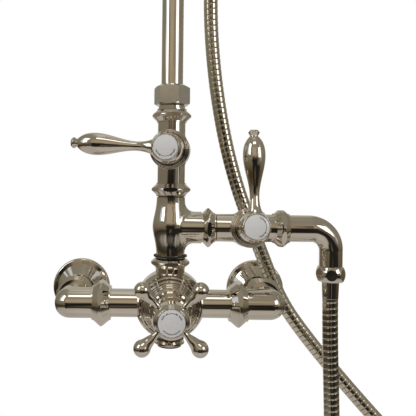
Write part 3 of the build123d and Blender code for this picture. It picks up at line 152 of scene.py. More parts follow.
# Lamps: name, turn, lift, width and height in degrees, glow, tint
LAMPS = (("left_softbox", -57, 30, 22, 36, 1.9, (0.97, 0.985, 1.0)),
         ("right_softbox", 47, 19, 23, 24, 2.3, (0.98, 0.99, 1.0)),
         ("top_strip", -3, 57, 48, 15, 1.5, (1.0, 0.99, 0.97)),
         ("fill", -25, 48, 60, 60, 1.25, (0.95, 0.975, 1.0)))
# The lamp that no reflection shows
UNMIRRORED_LAMP = "fill"

# Route of the hose from the outlet ferrule to the hand shower, in metres
HOSE_ROUTE = (
    (0.1636, -0.08, 0.007), (0.1636, -0.08, -0.032),
    (0.1664, -0.0798, -0.105), (0.168, -0.0795, -0.18), (0.1692, -0.079, -0.252), (0.171, -0.0775, -0.323),
    (0.192, -0.075, -0.3655), (0.228, -0.0715, -0.3905), (0.271, -0.0675, -0.396), (0.311, -0.063, -0.38),
    (0.3395, -0.058, -0.348), (0.35, -0.053, -0.306), (0.3395, -0.0475, -0.262), (0.3, -0.0415, -0.213),
    (0.251, -0.036, -0.158), (0.2075, -0.032, -0.1105), (0.172, -0.0305, -0.0695), (0.148, -0.0295, -0.0395),
    (0.1305, -0.0283, -0.015), (0.116, -0.0272, 0.014), (0.103, -0.0272, 0.047), (0.088, -0.0276, 0.0845),
    (0.0738, -0.028, 0.124), (0.0618, -0.0285, 0.168), (0.052, -0.0295, 0.219), (0.0455, -0.0312, 0.271),
    (0.0425, -0.035, 0.318), (0.0424, -0.0425, 0.368), (0.0429, -0.054, 0.416), (0.0436, -0.0695, 0.457),
    (0.044, -0.08, 0.489), (0.044, -0.08, 0.52),
)


class FinishSettings(bpy.types.PropertyGroup):
    """Colours and polish of the materials."""

    nickel: FloatVectorProperty(name="Nickel", description="Colour of the polished nickel plate",
                                subtype="COLOR", size=3, min=0.0, max=1.0, default=(0.745, 0.70, 0.632))
    nickel_shade: FloatVectorProperty(name="Nickel shade", description="Colour where the plate is duller",
                                      subtype="COLOR", size=3, min=0.0, max=1.0,
                                      default=(0.675, 0.625, 0.545))
    satin: FloatVectorProperty(name="Satin", description="Colour of the satin compression nut",
                               subtype="COLOR", size=3, min=0.0, max=1.0, default=(0.80, 0.795, 0.80))
    polish: FloatProperty(name="Polish", description="Roughness where the plate is best polished",
                          subtype="FACTOR", min=0.0, max=1.0, default=0.02)
    haze: FloatProperty(name="Haze", description="Roughness where the plate is wiped and hazy",
                        subtype="FACTOR", min=0.0, max=1.0, default=0.06)
    porcelain: FloatVectorProperty(name="Porcelain", description="Colour of the glazed porcelain",
                                   subtype="COLOR", size=3, min=0.0, max=1.0, default=(0.80, 0.81, 0.825))
    rubber: FloatVectorProperty(name="Rubber", description="Colour of seals and nozzles",
                                subtype="COLOR", size=3, min=0.0, max=1.0, default=(0.018, 0.017, 0.016))
    brass: FloatVectorProperty(name="Brass", description="Colour of the machined brass inside the valves",
                               subtype="COLOR", size=3, min=0.0, max=1.0, default=(0.62, 0.44, 0.18))
    print_grey: FloatVectorProperty(name="Print", description="Colour of the marks fired on the buttons",
                                    subtype="COLOR", size=3, min=0.0, max=1.0, default=(0.05, 0.05, 0.055))


class HoseSettings(bpy.types.PropertyGroup):
    """Sizes of the wound metal hose."""

    radius: FloatProperty(name="Radius", description="Radius over the wound bands", unit="LENGTH",
                          min=0.002, default=7.75 * MM)
    groove: FloatProperty(name="Groove depth", description="Depth of the groove between two turns",
                          unit="LENGTH", min=0.0, default=0.9 * MM)
    pitch: FloatProperty(name="Pitch", description="Distance from one turn of the strip to the next",
                         unit="LENGTH", min=0.001, default=6.1 * MM)
    length: FloatProperty(name="Length", description="Length of the hose with its route laid straight",
                          unit="LENGTH", min=0.1, default=1.51)
    facets: IntProperty(name="Facets", description="Faces around one turn", min=8, max=64, default=24)


class MarkSettings(bpy.types.PropertyGroup):
    """Sizes of the rims and the printed marks of the porcelain buttons."""

    ring: FloatProperty(name="Ring", description="Radius of the marks as a share of the button radius",
                        subtype="FACTOR", min=0.1, max=0.95, default=0.74)
    line: FloatProperty(name="Line", description="Width of the printed arc", unit="LENGTH",
                        min=0.0001, default=0.5 * MM)
    tick: FloatProperty(name="Tick", description="Length of a printed tick", unit="LENGTH",
                        min=0.0002, default=1.9 * MM)
    rim: FloatProperty(name="Rim", description="Radius of the half-round rim around a button", unit="LENGTH",
                       min=0.0001, default=0.55 * MM)
    rim_offset: FloatProperty(name="Rim offset", description="Distance of the rim's middle from the button",
                              unit="LENGTH", min=0.0001, default=0.6325 * MM)
    head: FloatProperty(name="Arrowhead", description="Radius of an arrowhead", unit="LENGTH",
                        min=0.0001, default=1.55 * MM)
    film: FloatProperty(name="Film", description="Thickness of the print", unit="LENGTH",
                        min=0.00001, default=0.04 * MM)


class StageSettings(bpy.types.PropertyGroup):
    """Floor, lights and camera."""

    floor_height: FloatProperty(name="Floor height", description="Height of the floor", unit="LENGTH",
                                default=-0.90)
    floor_radius: FloatProperty(name="Floor radius", description="Radius of the floor disc", unit="LENGTH",
                                min=0.1, default=1.45)
    floor_colour: FloatVectorProperty(name="Floor colour", description="Colour of the floor", subtype="COLOR",
                                      size=3, min=0.0, max=1.0, default=(0.86, 0.855, 0.84))
    floor_glow: FloatProperty(name="Floor glow", description="Light that keeps the floor pale", min=0.0,
                              default=0.38)
    aim: FloatVectorProperty(name="Aim", description="Point that the lamps face", subtype="TRANSLATION",
                             size=3, default=(0.05, -0.08, 0.10))
    lamp_reach: FloatProperty(name="Lamp reach", description="Distance of the lamps from their aim",
                              unit="LENGTH", min=0.2, default=2.0)
    lens: FloatProperty(name="Lens", description="Focal length in millimetres", min=1.0, default=43.27)
    camera: FloatVectorProperty(name="Camera", description="Place of the camera", subtype="TRANSLATION",
                                size=3, default=(-0.01285, -0.590, 0.122))
    roll: FloatProperty(name="Roll", description="Turn of the camera about its view", subtype="ANGLE",
                        default=math.radians(0.65))
    shift: FloatVectorProperty(name="Shift", description="Lens shift as a share of the frame", size=2,
                               default=(0.119, -0.059))


def place(tree, kind, sockets=None, **settings):
    """Adds a node, sets its fields, and fills or links its inputs."""
    made = tree.nodes.new(kind)
    for name, value in settings.items():
        setattr(made, name, value)
    for key, value in (sockets or {}).items():
        if isinstance(value, bpy.types.NodeSocket):
            tree.links.new(value, made.inputs[key])
        else:
            made.inputs[key].default_value = value
    return made


def mixed(tree, share, first, second):
    return place(tree, "ShaderNodeMix", {"Factor": share, "A": first, "B": second},
                 data_type="RGBA").outputs["Result"]


def times(tree, first, second):
    return place(tree, "ShaderNodeMath", {0: first, 1: second}, operation="MULTIPLY").outputs[0]


def colour(value):
    return (*value, 1.0)


def new_group(name, inputs, outputs):
    """Empty shader group with named sockets; returns the tree, its input node and its output node."""
    tree = bpy.data.node_groups.new(name, "ShaderNodeTree")
    for socket, kind in inputs:
        tree.interface.new_socket(name=socket, in_out="INPUT", socket_type=kind)
    for socket, kind in outputs:
        tree.interface.new_socket(name=socket, in_out="OUTPUT", socket_type=kind)
    return tree, tree.nodes.new("NodeGroupInput"), tree.nodes.new("NodeGroupOutput")


def buffed_group():
    """Cloudy wipe marks, fine buffing lines and the slight waves of a buffed surface."""
    if "Buffed surface" in bpy.data.node_groups:
        return bpy.data.node_groups["Buffed surface"]
    tree, given, out = new_group(
        "Buffed surface",
        (("Vector", "NodeSocketVector"), ("Colour", "NodeSocketColor"), ("Shade", "NodeSocketColor"),
         ("Polish", "NodeSocketFloat"), ("Haze", "NodeSocketFloat"), ("Scale", "NodeSocketFloat")),
        (("Colour", "NodeSocketColor"), ("Roughness", "NodeSocketFloat"), ("Height", "NodeSocketFloat")))
    clouds = place(tree, "ShaderNodeTexNoise", {"Vector": given.outputs["Vector"],
                                                "Scale": given.outputs["Scale"], "Detail": 3.0})
    mask = place(tree, "ShaderNodeMapRange", {"Value": clouds.outputs["Fac"], "From Min": 0.42,
                                              "From Max": 0.72}, interpolation_type="SMOOTHSTEP")
    stretched = place(tree, "ShaderNodeMapping", {"Vector": given.outputs["Vector"],
                                                  "Scale": (1.0, 1.0, 6.0)})
    lines = place(tree, "ShaderNodeTexNoise", {"Vector": stretched.outputs["Vector"],
                                               "Scale": times(tree, given.outputs["Scale"], 14.0),
                                               "Detail": 2.0})
    share = times(tree, mask.outputs["Result"], lines.outputs["Fac"])
    rough = place(tree, "ShaderNodeMapRange", {"Value": share, "To Min": given.outputs["Polish"],
                                               "To Max": given.outputs["Haze"]})
    swell = place(tree, "ShaderNodeTexNoise", {"Vector": given.outputs["Vector"],
                                               "Scale": times(tree, given.outputs["Scale"], 5.0),
                                               "Detail": 0.0})
    tree.links.new(mixed(tree, share, given.outputs["Colour"], given.outputs["Shade"]), out.inputs["Colour"])
    tree.links.new(rough.outputs["Result"], out.inputs["Roughness"])
    tree.links.new(swell.outputs["Fac"], out.inputs["Height"])
    return tree


def grain_group():
    """Fine even grain with a few larger specks, for porcelain, rubber and plastic."""
    if "Fine grain" in bpy.data.node_groups:
        return bpy.data.node_groups["Fine grain"]
    tree, given, out = new_group(
        "Fine grain",
        (("Vector", "NodeSocketVector"), ("Colour", "NodeSocketColor"), ("Shade", "NodeSocketColor"),
         ("Smooth", "NodeSocketFloat"), ("Dull", "NodeSocketFloat"), ("Scale", "NodeSocketFloat")),
        (("Colour", "NodeSocketColor"), ("Roughness", "NodeSocketFloat"), ("Height", "NodeSocketFloat")))
    grain = place(tree, "ShaderNodeTexNoise", {"Vector": given.outputs["Vector"],
                                               "Scale": given.outputs["Scale"], "Detail": 4.0})
    clouds = place(tree, "ShaderNodeTexNoise", {"Vector": given.outputs["Vector"],
                                                "Scale": times(tree, given.outputs["Scale"], 0.22),
                                                "Detail": 1.0})
    mask = place(tree, "ShaderNodeMapRange", {"Value": clouds.outputs["Fac"], "From Min": 0.35,
                                              "From Max": 0.8})
    tint = mixed(tree, mask.outputs["Result"], given.outputs["Colour"], given.outputs["Shade"])
    rough = place(tree, "ShaderNodeMapRange", {"Value": grain.outputs["Fac"],
                                               "To Min": given.outputs["Smooth"],
                                               "To Max": given.outputs["Dull"]})
    tree.links.new(tint, out.inputs["Colour"])
    tree.links.new(rough.outputs["Result"], out.inputs["Roughness"])
    tree.links.new(grain.outputs["Fac"], out.inputs["Height"])
    return tree


def new_finish(name, group, values, depth):
    """Material with one effect group feeding colour, roughness and bump; returns it with its shader."""
    material = bpy.data.materials.new(name)
    material.use_nodes = True
    tree = material.node_tree
    shader = tree.nodes["Principled BSDF"]
    where = place(tree, "ShaderNodeTexCoord")
    effect = place(tree, "ShaderNodeGroup", node_tree=group)
    tree.links.new(where.outputs["Object"], effect.inputs["Vector"])
    for key, value in values.items():
        effect.inputs[key].default_value = value
    bump = place(tree, "ShaderNodeBump", {"Height": effect.outputs["Height"], "Strength": 1.0,
                                          "Distance": depth})
    tree.links.new(effect.outputs["Colour"], shader.inputs["Base Color"])
    tree.links.new(effect.outputs["Roughness"], shader.inputs["Roughness"])
    tree.links.new(bump.outputs["Normal"], shader.inputs["Normal"])
    return material, shader


def metal(name, tone, shade, polish, haze, scale, depth):
    """Buffed metal, made once."""
    if name in bpy.data.materials:
        return bpy.data.materials[name]
    material, shader = new_finish(
        name, buffed_group(), {"Colour": colour(tone), "Shade": colour(shade), "Polish": polish, "Haze": haze,
                               "Scale": scale}, depth)
    shader.inputs["Metallic"].default_value = 1.0
    return material


def grained(name, tone, shade, smooth, dull, scale, depth):
    """Finely grained material that is no metal, made once."""
    if name in bpy.data.materials:
        return bpy.data.materials[name]
    return new_finish(name, grain_group(), {"Colour": colour(tone), "Shade": colour(shade), "Smooth": smooth,
                                            "Dull": dull, "Scale": scale}, depth)[0]


def nickel_finish():
    look = bpy.context.scene.shower_finish
    return metal("Polished nickel", look.nickel, look.nickel_shade, look.polish, look.haze, scale=26.0,
                 depth=0.012 * MM)


def satin_finish():
    """Satin nickel of the large compression nut, cooler and softer than the plate around it."""
    return metal("Satin nickel", bpy.context.scene.shower_finish.satin, (0.74, 0.735, 0.74), polish=0.16,
                 haze=0.22, scale=90.0, depth=0.006 * MM)


def brushed_finish():
    """Brushed nickel of the two spray faces."""
    look = bpy.context.scene.shower_finish
    return metal("Brushed nickel", look.nickel, look.nickel_shade, polish=0.34, haze=0.46, scale=60.0,
                 depth=0.01 * MM)


def hose_finish():
    """Nickel of the hose, with painted shade that makes it darker in the groove between two turns of the strip."""
    material = metal("Nickel hose strip", (0.74, 0.695, 0.59), (0.66, 0.61, 0.50), polish=0.1, haze=0.2,
                     scale=60.0, depth=0.006 * MM)
    tree = material.node_tree
    base = tree.nodes["Principled BSDF"].inputs["Base Color"]
    groove = place(tree, "ShaderNodeAttribute", attribute_name="groove")
    # Painted shade: where the groove mask is one, the base colour turns a dark brown.
    painted_shade = mixed(tree, groove.outputs["Fac"], base.links[0].from_socket, colour((0.17, 0.15, 0.11)))
    tree.links.new(painted_shade, base)
    return material


def porcelain_finish():
    material = grained("Glazed porcelain", bpy.context.scene.shower_finish.porcelain, (0.785, 0.795, 0.81),
                       smooth=0.12, dull=0.2, scale=500.0, depth=0.002 * MM)
    shader = material.node_tree.nodes["Principled BSDF"]
    shader.inputs["Coat Weight"].default_value = 0.5
    shader.inputs["Coat Roughness"].default_value = 0.04
    return material


def rubber_finish():
    return grained("Black rubber", bpy.context.scene.shower_finish.rubber, (0.035, 0.033, 0.03), smooth=0.42,
                   dull=0.68, scale=1400.0, depth=0.02 * MM)


def brass_finish():
    return metal("Machined brass", bpy.context.scene.shower_finish.brass, (0.50, 0.34, 0.13), polish=0.2,
                 haze=0.38, scale=70.0, depth=0.01 * MM)


def steel_finish():
    return metal("Steel screws", (0.45, 0.44, 0.42), (0.32, 0.31, 0.30), polish=0.2, haze=0.4, scale=160.0,
                 depth=0.01 * MM)


def plastic_finish():
    return grained("Valve plastic", (0.62, 0.62, 0.60), (0.55, 0.55, 0.53), smooth=0.4, dull=0.55,
                   scale=900.0, depth=0.01 * MM)


def print_finish():
    return grained("Fired print", bpy.context.scene.shower_finish.print_grey, (0.09, 0.09, 0.095), smooth=0.2,
                   dull=0.35, scale=1500.0, depth=0.004 * MM)


# Near-black painted shade for the inside of screw sockets and for the spray holes
def recess_shade_finish():
    return grained("Dark recess", (0.012, 0.011, 0.010), (0.03, 0.027, 0.022), smooth=0.5, dull=0.8,
                   scale=1200.0, depth=0.01 * MM)


def paint_node(node, material):
    mesh = frame["nodes"][node].data
    mesh.materials.clear()
    mesh.materials.append(material)


def paint_slot(slot, material):
    """Gives every CAD node of one record slot its finish."""
    for node, its_slot in SLOT_OF.items():
        if its_slot == slot:
            paint_node(node, material)


def new_piece(name, bm, *materials):
    """Mesh object from a bmesh, at the origin, with smooth faces and sharp creases."""
    mesh = bpy.data.meshes.new(name)
    bm.to_mesh(mesh)
    bm.free()
    for material in materials:
        mesh.materials.append(material)
    mesh.shade_smooth()
    mesh.set_sharp_from_angle(angle=CREASE)
    piece = bpy.data.objects.new(name, mesh)
    bpy.context.scene.collection.objects.link(piece)
    return piece


def joint_face(joint):
    """Matrix at a joint with X to the right, Y up and Z out of the face that the viewer sees."""
    out = Vector(JOINTS[joint]["axis"]).normalized()
    if out.y > 0:
        out.negate()
    right = Vector((0, 0, 1)).cross(out).normalized()
    up = out.cross(right)
    turn = Matrix((right, up, out)).transposed().to_4x4()
    return Matrix.Translation(JOINTS[joint].get("pos_m", (0, 0, 0))) @ turn


def surface_of(node):
    mesh = frame["nodes"][node].data
    return BVHTree.FromPolygons([corner.co for corner in mesh.vertices],
                                [face.vertices for face in mesh.polygons])


def height_on(node, face, radius):
    """Height of a CAD piece's front above a joint face, at one radius from the joint."""
    away = face.to_3x3() @ Vector((0, 0, 1))
    spot = surface_of(node).ray_cast(face @ Vector((radius, 0, RAY_AHEAD)), -away)[0]
    if spot is None:
        raise RuntimeError("no surface found on " + node)
    return (face.inverted() @ spot).z


class SHOWER_OT_metalwork(bpy.types.Operator):
    """Gives the plated and machined metal of the column its finish"""

    bl_idname = "shower.metalwork"
    bl_label = "Finish metalwork"

    def execute(self, context):
        paint_slot("nickel", nickel_finish())
        paint_node("riser_nut", satin_finish())
        brushed = brushed_finish()
        for spray_face in ("rose_face", "handset_face"):
            paint_node(spray_face, brushed)
        paint_slot("hose", nickel_finish())
        paint_slot("brass", brass_finish())
        paint_slot("steel", steel_finish())
        return {"FINISHED"}


class SHOWER_OT_porcelain(bpy.types.Operator):
    """Glazes the index buttons and the hand shower grip"""

    bl_idname = "shower.porcelain"
    bl_label = "Glaze porcelain"

    def execute(self, context):
        paint_slot("porcelain", porcelain_finish())
        return {"FINISHED"}


class SHOWER_OT_seals(bpy.types.Operator):
    """Colours the rubber seals, the nozzles and the check valves"""

    bl_idname = "shower.seals"
    bl_label = "Colour seals"

    def execute(self, context):
        paint_slot("rubber", rubber_finish())
        paint_slot("plastic", plastic_finish())
        return {"FINISHED"}


def hose_line():
    """Smooth line through the hose route."""
    curve = bpy.data.curves.new("hose_line", "CURVE")
    curve.dimensions = "3D"
    spline = curve.splines.new("NURBS")
    spline.points.add(len(HOSE_ROUTE) - 1)
    for point, corner in zip(spline.points, HOSE_ROUTE):
        point.co = (*corner, 1.0)
    spline.order_u = 3
    spline.use_endpoint_u = True
    spline.resolution_u = 16
    line = bpy.data.objects.new("hose_line", curve)
    bpy.context.scene.collection.objects.link(line)
    return line


def line_points(line):
    mesh = bpy.data.meshes.new_from_object(line)
    points = [corner.co.copy() for corner in mesh.vertices]
    bpy.data.meshes.remove(mesh)
    return points


def evaluated_mesh(piece):
    bpy.context.view_layer.update()
    depsgraph = bpy.context.evaluated_depsgraph_get()
    return bpy.data.meshes.new_from_object(piece.evaluated_get(depsgraph))


def wound_strip(pitch, turns, hose):
    """Straight hose along X: one turn of the strip, spun once and repeated."""
    bm = bmesh.new()
    corners = [bm.verts.new(((share - 1.0) * pitch, 0.0, hose.radius - depth * hose.groove))
               for share, depth in BAND_OUTLINE]
    edges = [bm.edges.new(pair) for pair in zip(corners, corners[1:])]
    bmesh.ops.spin(bm, geom=corners + edges, cent=(0, 0, 0), axis=(1, 0, 0), dvec=(pitch / hose.facets, 0, 0),
                   angle=2 * math.pi, steps=hose.facets, use_merge=False)
    piece = new_piece("hose_turn", bm)
    repeat = piece.modifiers.new("Turns", "ARRAY")
    repeat.count = turns + 2
    repeat.use_relative_offset = False
    repeat.use_constant_offset = True
    repeat.constant_offset_displace = (pitch, 0, 0)
    mesh = evaluated_mesh(piece)
    bpy.data.objects.remove(piece)
    return mesh


def cut_square(bm, at, keep_above):
    """Cuts the hose square at one place along X and closes the cut."""
    cut = bmesh.ops.bisect_plane(bm, geom=bm.verts[:] + bm.edges[:] + bm.faces[:], plane_co=(at, 0, 0),
                                 plane_no=(1, 0, 0), clear_inner=keep_above, clear_outer=not keep_above)
    rim = [part for part in cut["geom_cut"] if isinstance(part, bmesh.types.BMEdge)]
    bmesh.ops.edgeloop_fill(bm, edges=rim)


class SHOWER_OT_hose(bpy.types.Operator):
    """Winds the metal hose along its route from the outlet to the hand shower"""

    bl_idname = "shower.hose"
    bl_label = "Wind hose"

    def execute(self, context):
        hose = context.scene.shower_hose
        line = hose_line()
        points = line_points(line)
        length = sum((after - before).length for before, after in zip(points, points[1:]))
        turns = round(length / hose.pitch)
        strip = wound_strip(length / turns, turns, hose)
        bm = bmesh.new()
        bm.from_mesh(strip)
        bmesh.ops.remove_doubles(bm, verts=bm.verts, dist=WELD)
        cut_square(bm, 0.0, True)
        cut_square(bm, length, False)
        bmesh.ops.recalc_face_normals(bm, faces=bm.faces)
        # Mask of the painted shade: one on the vertices at the bottom of the groove, zero elsewhere
        depth = bm.verts.layers.float.new("groove")
        for corner in bm.verts:
            height = math.hypot(corner.co.y, corner.co.z)
            corner[depth] = 1.0 if height < hose.radius - SHADED_GROOVE_SHARE * hose.groove else 0.0
        straight = new_piece("hose_straight", bm, hose_finish())
        bend = straight.modifiers.new("Route", "CURVE")
        bend.object = line
        mesh = evaluated_mesh(straight)
        mesh.name = "wound_hose"
        piece = bpy.data.objects.new("wound_hose", mesh)
        context.scene.collection.objects.link(piece)
        bpy.data.objects.remove(straight)
        bpy.data.objects.remove(line)
        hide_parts("shower_hose")
        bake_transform(piece)
        return {"FINISHED"}


def mark_arc(bm, radius, height, look, start, end):
    """Thin printed arc between two angles, with an arrowhead at each end."""
    half = look.line / 2
    lean = Matrix.Rotation(start, 4, "Z")
    corners = [bm.verts.new(lean @ Vector((radius + side * half, 0, height + level)))
               for side, level in ((-1, -look.film), (1, -look.film), (1, look.film), (-1, look.film))]
    face = bm.faces.new(corners)
    bmesh.ops.spin(bm, geom=[face], cent=(0, 0, 0), axis=(0, 0, 1), angle=end - start, steps=ARC_STEPS,
                   use_merge=False)
    for angle, about in ((start, 180), (end, 0)):
        head = Matrix.Rotation(angle, 4, "Z") @ Matrix.Translation((radius, 0, height))
        head = head @ Matrix.Rotation(math.radians(about), 4, "Z") @ Matrix.Diagonal((*ARROW_SHAPE, 1, 1))
        bmesh.ops.create_cone(bm, cap_ends=True, segments=3, radius1=look.head, radius2=look.head,
                              depth=2 * look.film, matrix=head)


def mark_ticks(bm, radius, height, look, start, end, count):
    """Row of printed ticks between two angles."""
    for index in range(count):
        angle = start + (end - start) * index / max(count - 1, 1)
        size = Matrix.Diagonal((look.tick, look.line * TICK_WIDTH, 2 * look.film, 1))
        spot = Matrix.Rotation(angle, 4, "Z") @ Matrix.Translation((radius, 0, height)) @ size
        bmesh.ops.create_cube(bm, size=1.0, matrix=spot)


class SHOWER_OT_rims(bpy.types.Operator):
    """Rolls a half-round rim on each handle hub, around its porcelain button"""

    bl_idname = "shower.rims"
    bl_label = "Roll button rims"

    def execute(self, context):
        look = context.scene.shower_marks
        for name, (joint, body, hub) in HANDLES.items():
            face = joint_face(joint)
            low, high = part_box(name + "_button")
            radius = (high.x - low.x) / 2 + look.rim_offset
            seat = Matrix.Translation((radius, 0, height_on(hub, face, radius)))
            seat = seat @ Matrix.Rotation(math.radians(90), 4, "X")
            bm = bmesh.new()
            bead = bmesh.ops.create_circle(bm, segments=12, radius=look.rim, matrix=seat)["verts"]
            bmesh.ops.spin(bm, geom=bead + bm.edges[:], cent=(0, 0, 0), axis=(0, 0, 1), angle=2 * math.pi,
                           steps=RIM_STEPS, use_merge=True)
            bmesh.ops.recalc_face_normals(bm, faces=bm.faces)
            bmesh.ops.transform(bm, matrix=face, verts=bm.verts)
            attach(new_piece(name + "_button_rim", bm, nickel_finish()), body)
        return {"FINISHED"}


class SHOWER_OT_marks(bpy.types.Operator):
    """Prints turning arcs and graduations on the three porcelain buttons"""

    bl_idname = "shower.marks"
    bl_label = "Print button marks"

    def execute(self, context):
        look = context.scene.shower_marks
        ink = print_finish()
        for name, (joint, body, _) in HANDLES.items():
            node = name + "_button"
            face = joint_face(joint)
            low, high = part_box(node)
            radius = look.ring * (high.z - low.z) / 2
            height = height_on(node, face, radius)
            bm = bmesh.new()
            start, end = BUTTON_ARCS[name]
            mark_arc(bm, radius, height, look, math.radians(start), math.radians(end))
            for start, end, count in BUTTON_TICKS[name]:
                mark_ticks(bm, radius, height, look, math.radians(start), math.radians(end), count)
            bmesh.ops.recalc_face_normals(bm, faces=bm.faces)
            bmesh.ops.transform(bm, matrix=face, verts=bm.verts)
            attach(new_piece(node + "_marks", bm, ink), body)
        return {"FINISHED"}


def set_screw(bm, radius, lift):
    """Round screw face with a chamfered rim and a six-sided socket, its foot below z = 0."""
    rim = bmesh.ops.create_circle(bm, segments=24, radius=radius * GRUB_FACE,
                                  matrix=Matrix.Translation((0, 0, lift)))["verts"]
    socket = bmesh.ops.create_circle(bm, segments=6, radius=radius * GRUB_SOCKET,
                                     matrix=Matrix.Translation((0, 0, lift)))["verts"]
    rim_edges = [edge for edge in bm.edges if all(corner in rim for corner in edge.verts)]
    socket_edges = [edge for edge in bm.edges if all(corner in socket for corner in edge.verts)]
    bmesh.ops.bridge_loops(bm, edges=rim_edges + socket_edges)
    for grow, drop in ((1.0 / GRUB_FACE, -GRUB_CHAMFER * lift), (1.0, -GRUB_FOOT * lift)):
        out = bmesh.ops.extrude_edge_only(bm, edges=rim_edges)["geom"]
        corners = [part for part in out if isinstance(part, bmesh.types.BMVert)]
        rim_edges = [part for part in out if isinstance(part, bmesh.types.BMEdge)]
        bmesh.ops.scale(bm, vec=(grow, grow, 1), verts=corners)
        bmesh.ops.translate(bm, vec=(0, 0, drop), verts=corners)
    out = bmesh.ops.extrude_edge_only(bm, edges=socket_edges)["geom"]
    corners = [part for part in out if isinstance(part, bmesh.types.BMVert)]
    bmesh.ops.translate(bm, vec=(0, 0, -GRUB_SOCKET_DEPTH * lift), verts=corners)
    # The floor of the socket takes the second material: painted shade for the dark inside of the socket
    floor = bmesh.ops.edgeloop_fill(bm, edges=[p for p in out if isinstance(p, bmesh.types.BMEdge)])
    for face in floor["faces"]:
        face.material_index = 1


class SHOWER_OT_set_screws(bpy.types.Operator):
    """Sets the small grub screws that hold the handles on their spindles"""

    bl_idname = "shower.set_screws"
    bl_label = "Set grub screws"

    def execute(self, context):
        plate = nickel_finish()
        # Painted shade for the floors of the screw sockets
        painted_shade = recess_shade_finish()
        for name, (angle, out) in GRUB_SEATS.items():
            joint, body, node = HANDLES[name]
            face = joint_face(joint)
            ray = Matrix.Rotation(math.radians(angle), 4, "Z") @ Vector((1, 0, 0))
            start = face @ (ray * RAY_ASIDE + Vector((0, 0, out)))
            hit = surface_of(node).ray_cast(start, -(face.to_3x3() @ ray))
            if hit[0] is None:
                raise RuntimeError("no surface for the grub screw of " + node)
            seat = Matrix.Translation(hit[0]) @ hit[1].to_track_quat("Z", "Y").to_matrix().to_4x4()
            bm = bmesh.new()
            set_screw(bm, GRUB_RADIUS, GRUB_LIFT)
            bmesh.ops.recalc_face_normals(bm, faces=bm.faces)
            bmesh.ops.transform(bm, matrix=seat, verts=bm.verts)
            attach(new_piece(node + "_grub_screw", bm, plate, painted_shade), body)
        return {"FINISHED"}


class SHOWER_OT_spray_hole_shade(bpy.types.Operator):
    """Marks the spray hole in each nozzle of the hand shower with a thin disc of painted shade"""

    bl_idname = "shower.spray_holes"
    bl_label = "Paint spray hole shade"

    def execute(self, context):
        mesh = frame["nodes"]["handset_face"].data
        ahead = [face for face in mesh.polygons if face.normal.y < 0]
        out = max(ahead, key=lambda face: face.area).normal.copy()
        crest = max(corner.co.dot(out) for corner in mesh.vertices)
        nozzles = []
        for face in mesh.polygons:
            if face.normal.dot(out) < SAME_WAY or face.center.dot(out) < crest - NOZZLE_TIP:
                continue
            for nozzle in nozzles:
                if (nozzle[0] / nozzle[1] - face.center).length < NOZZLE_APART:
                    nozzle[0] += face.center * face.area
                    nozzle[1] += face.area
                    break
            else:
                nozzles.append([face.center * face.area, face.area])
        bm = bmesh.new()
        turn = out.to_track_quat("Z", "Y").to_matrix().to_4x4()
        for centre, area in nozzles:
            bmesh.ops.create_cone(bm, cap_ends=True, segments=12, radius1=SPRAY_HOLE_RADIUS,
                                  radius2=SPRAY_HOLE_RADIUS, depth=SPRAY_HOLE_DEPTH,
                                  matrix=Matrix.Translation(centre / area) @ turn)
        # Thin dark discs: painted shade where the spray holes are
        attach(new_piece("handset_spray_holes", bm, recess_shade_finish()), "handset")
        return {"FINISHED"}


def softbox(name, turn, lift, wide, tall, glow, tint):
    """Rectangular lamp aimed at the column; direction and spread in degrees as seen from there."""
    stage = bpy.context.scene.shower_stage
    turn, lift = math.radians(turn), math.radians(lift)
    way = Vector((math.sin(turn) * math.cos(lift), -math.cos(turn) * math.cos(lift), math.sin(lift)))
    lamp = bpy.data.lights.new(name, "AREA")
    lamp.shape = "RECTANGLE"
    lamp.size = 2 * stage.lamp_reach * math.tan(math.radians(wide) * math.cos(lift) / 2)
    lamp.size_y = 2 * stage.lamp_reach * math.tan(math.radians(tall) / 2)
    lamp.energy = glow * math.pi * lamp.size * lamp.size_y
    lamp.color = tint
    box = bpy.data.objects.new(name, lamp)
    box.location = Vector(stage.aim) + way * stage.lamp_reach
    box.rotation_euler = way.to_track_quat("Z", "Y").to_euler()
    bpy.context.scene.collection.objects.link(box)
    return box


def smooth_step(tree, value, low, high):
    return place(tree, "ShaderNodeMapRange", {"Value": value, "From Min": low, "From Max": high},
                 interpolation_type="SMOOTHSTEP").outputs["Result"]


def height_ramp(tree, level, stops):
    """Colours by height of the mirrored direction, from (degrees above the horizon, colour) stops."""
    ramp = place(tree, "ShaderNodeValToRGB", {"Fac": level})
    elements = ramp.color_ramp.elements
    for stop in stops[2:]:
        elements.new(1.0)
    for element, (degrees, tone) in zip(elements, stops):
        element.position = (math.sin(math.radians(degrees)) + 1) / 2
        element.color = colour(tone)
    return ramp.outputs["Color"]


def band(tree, value, start, end, soft):
    """One inside a range of values and zero outside it, with soft edges."""
    return times(tree, smooth_step(tree, value, start - soft, start + soft),
                 smooth_step(tree, value, end + soft, end - soft))


def strayed(tree, value, noise, reach):
    """Value moved a little by noise, so that the forms of the room have uneven edges."""
    lowered = place(tree, "ShaderNodeMath", {0: value, 1: reach / 2}, operation="SUBTRACT").outputs[0]
    return place(tree, "ShaderNodeMath", {0: noise, 1: reach, 2: lowered},
                 operation="MULTIPLY_ADD").outputs[0]


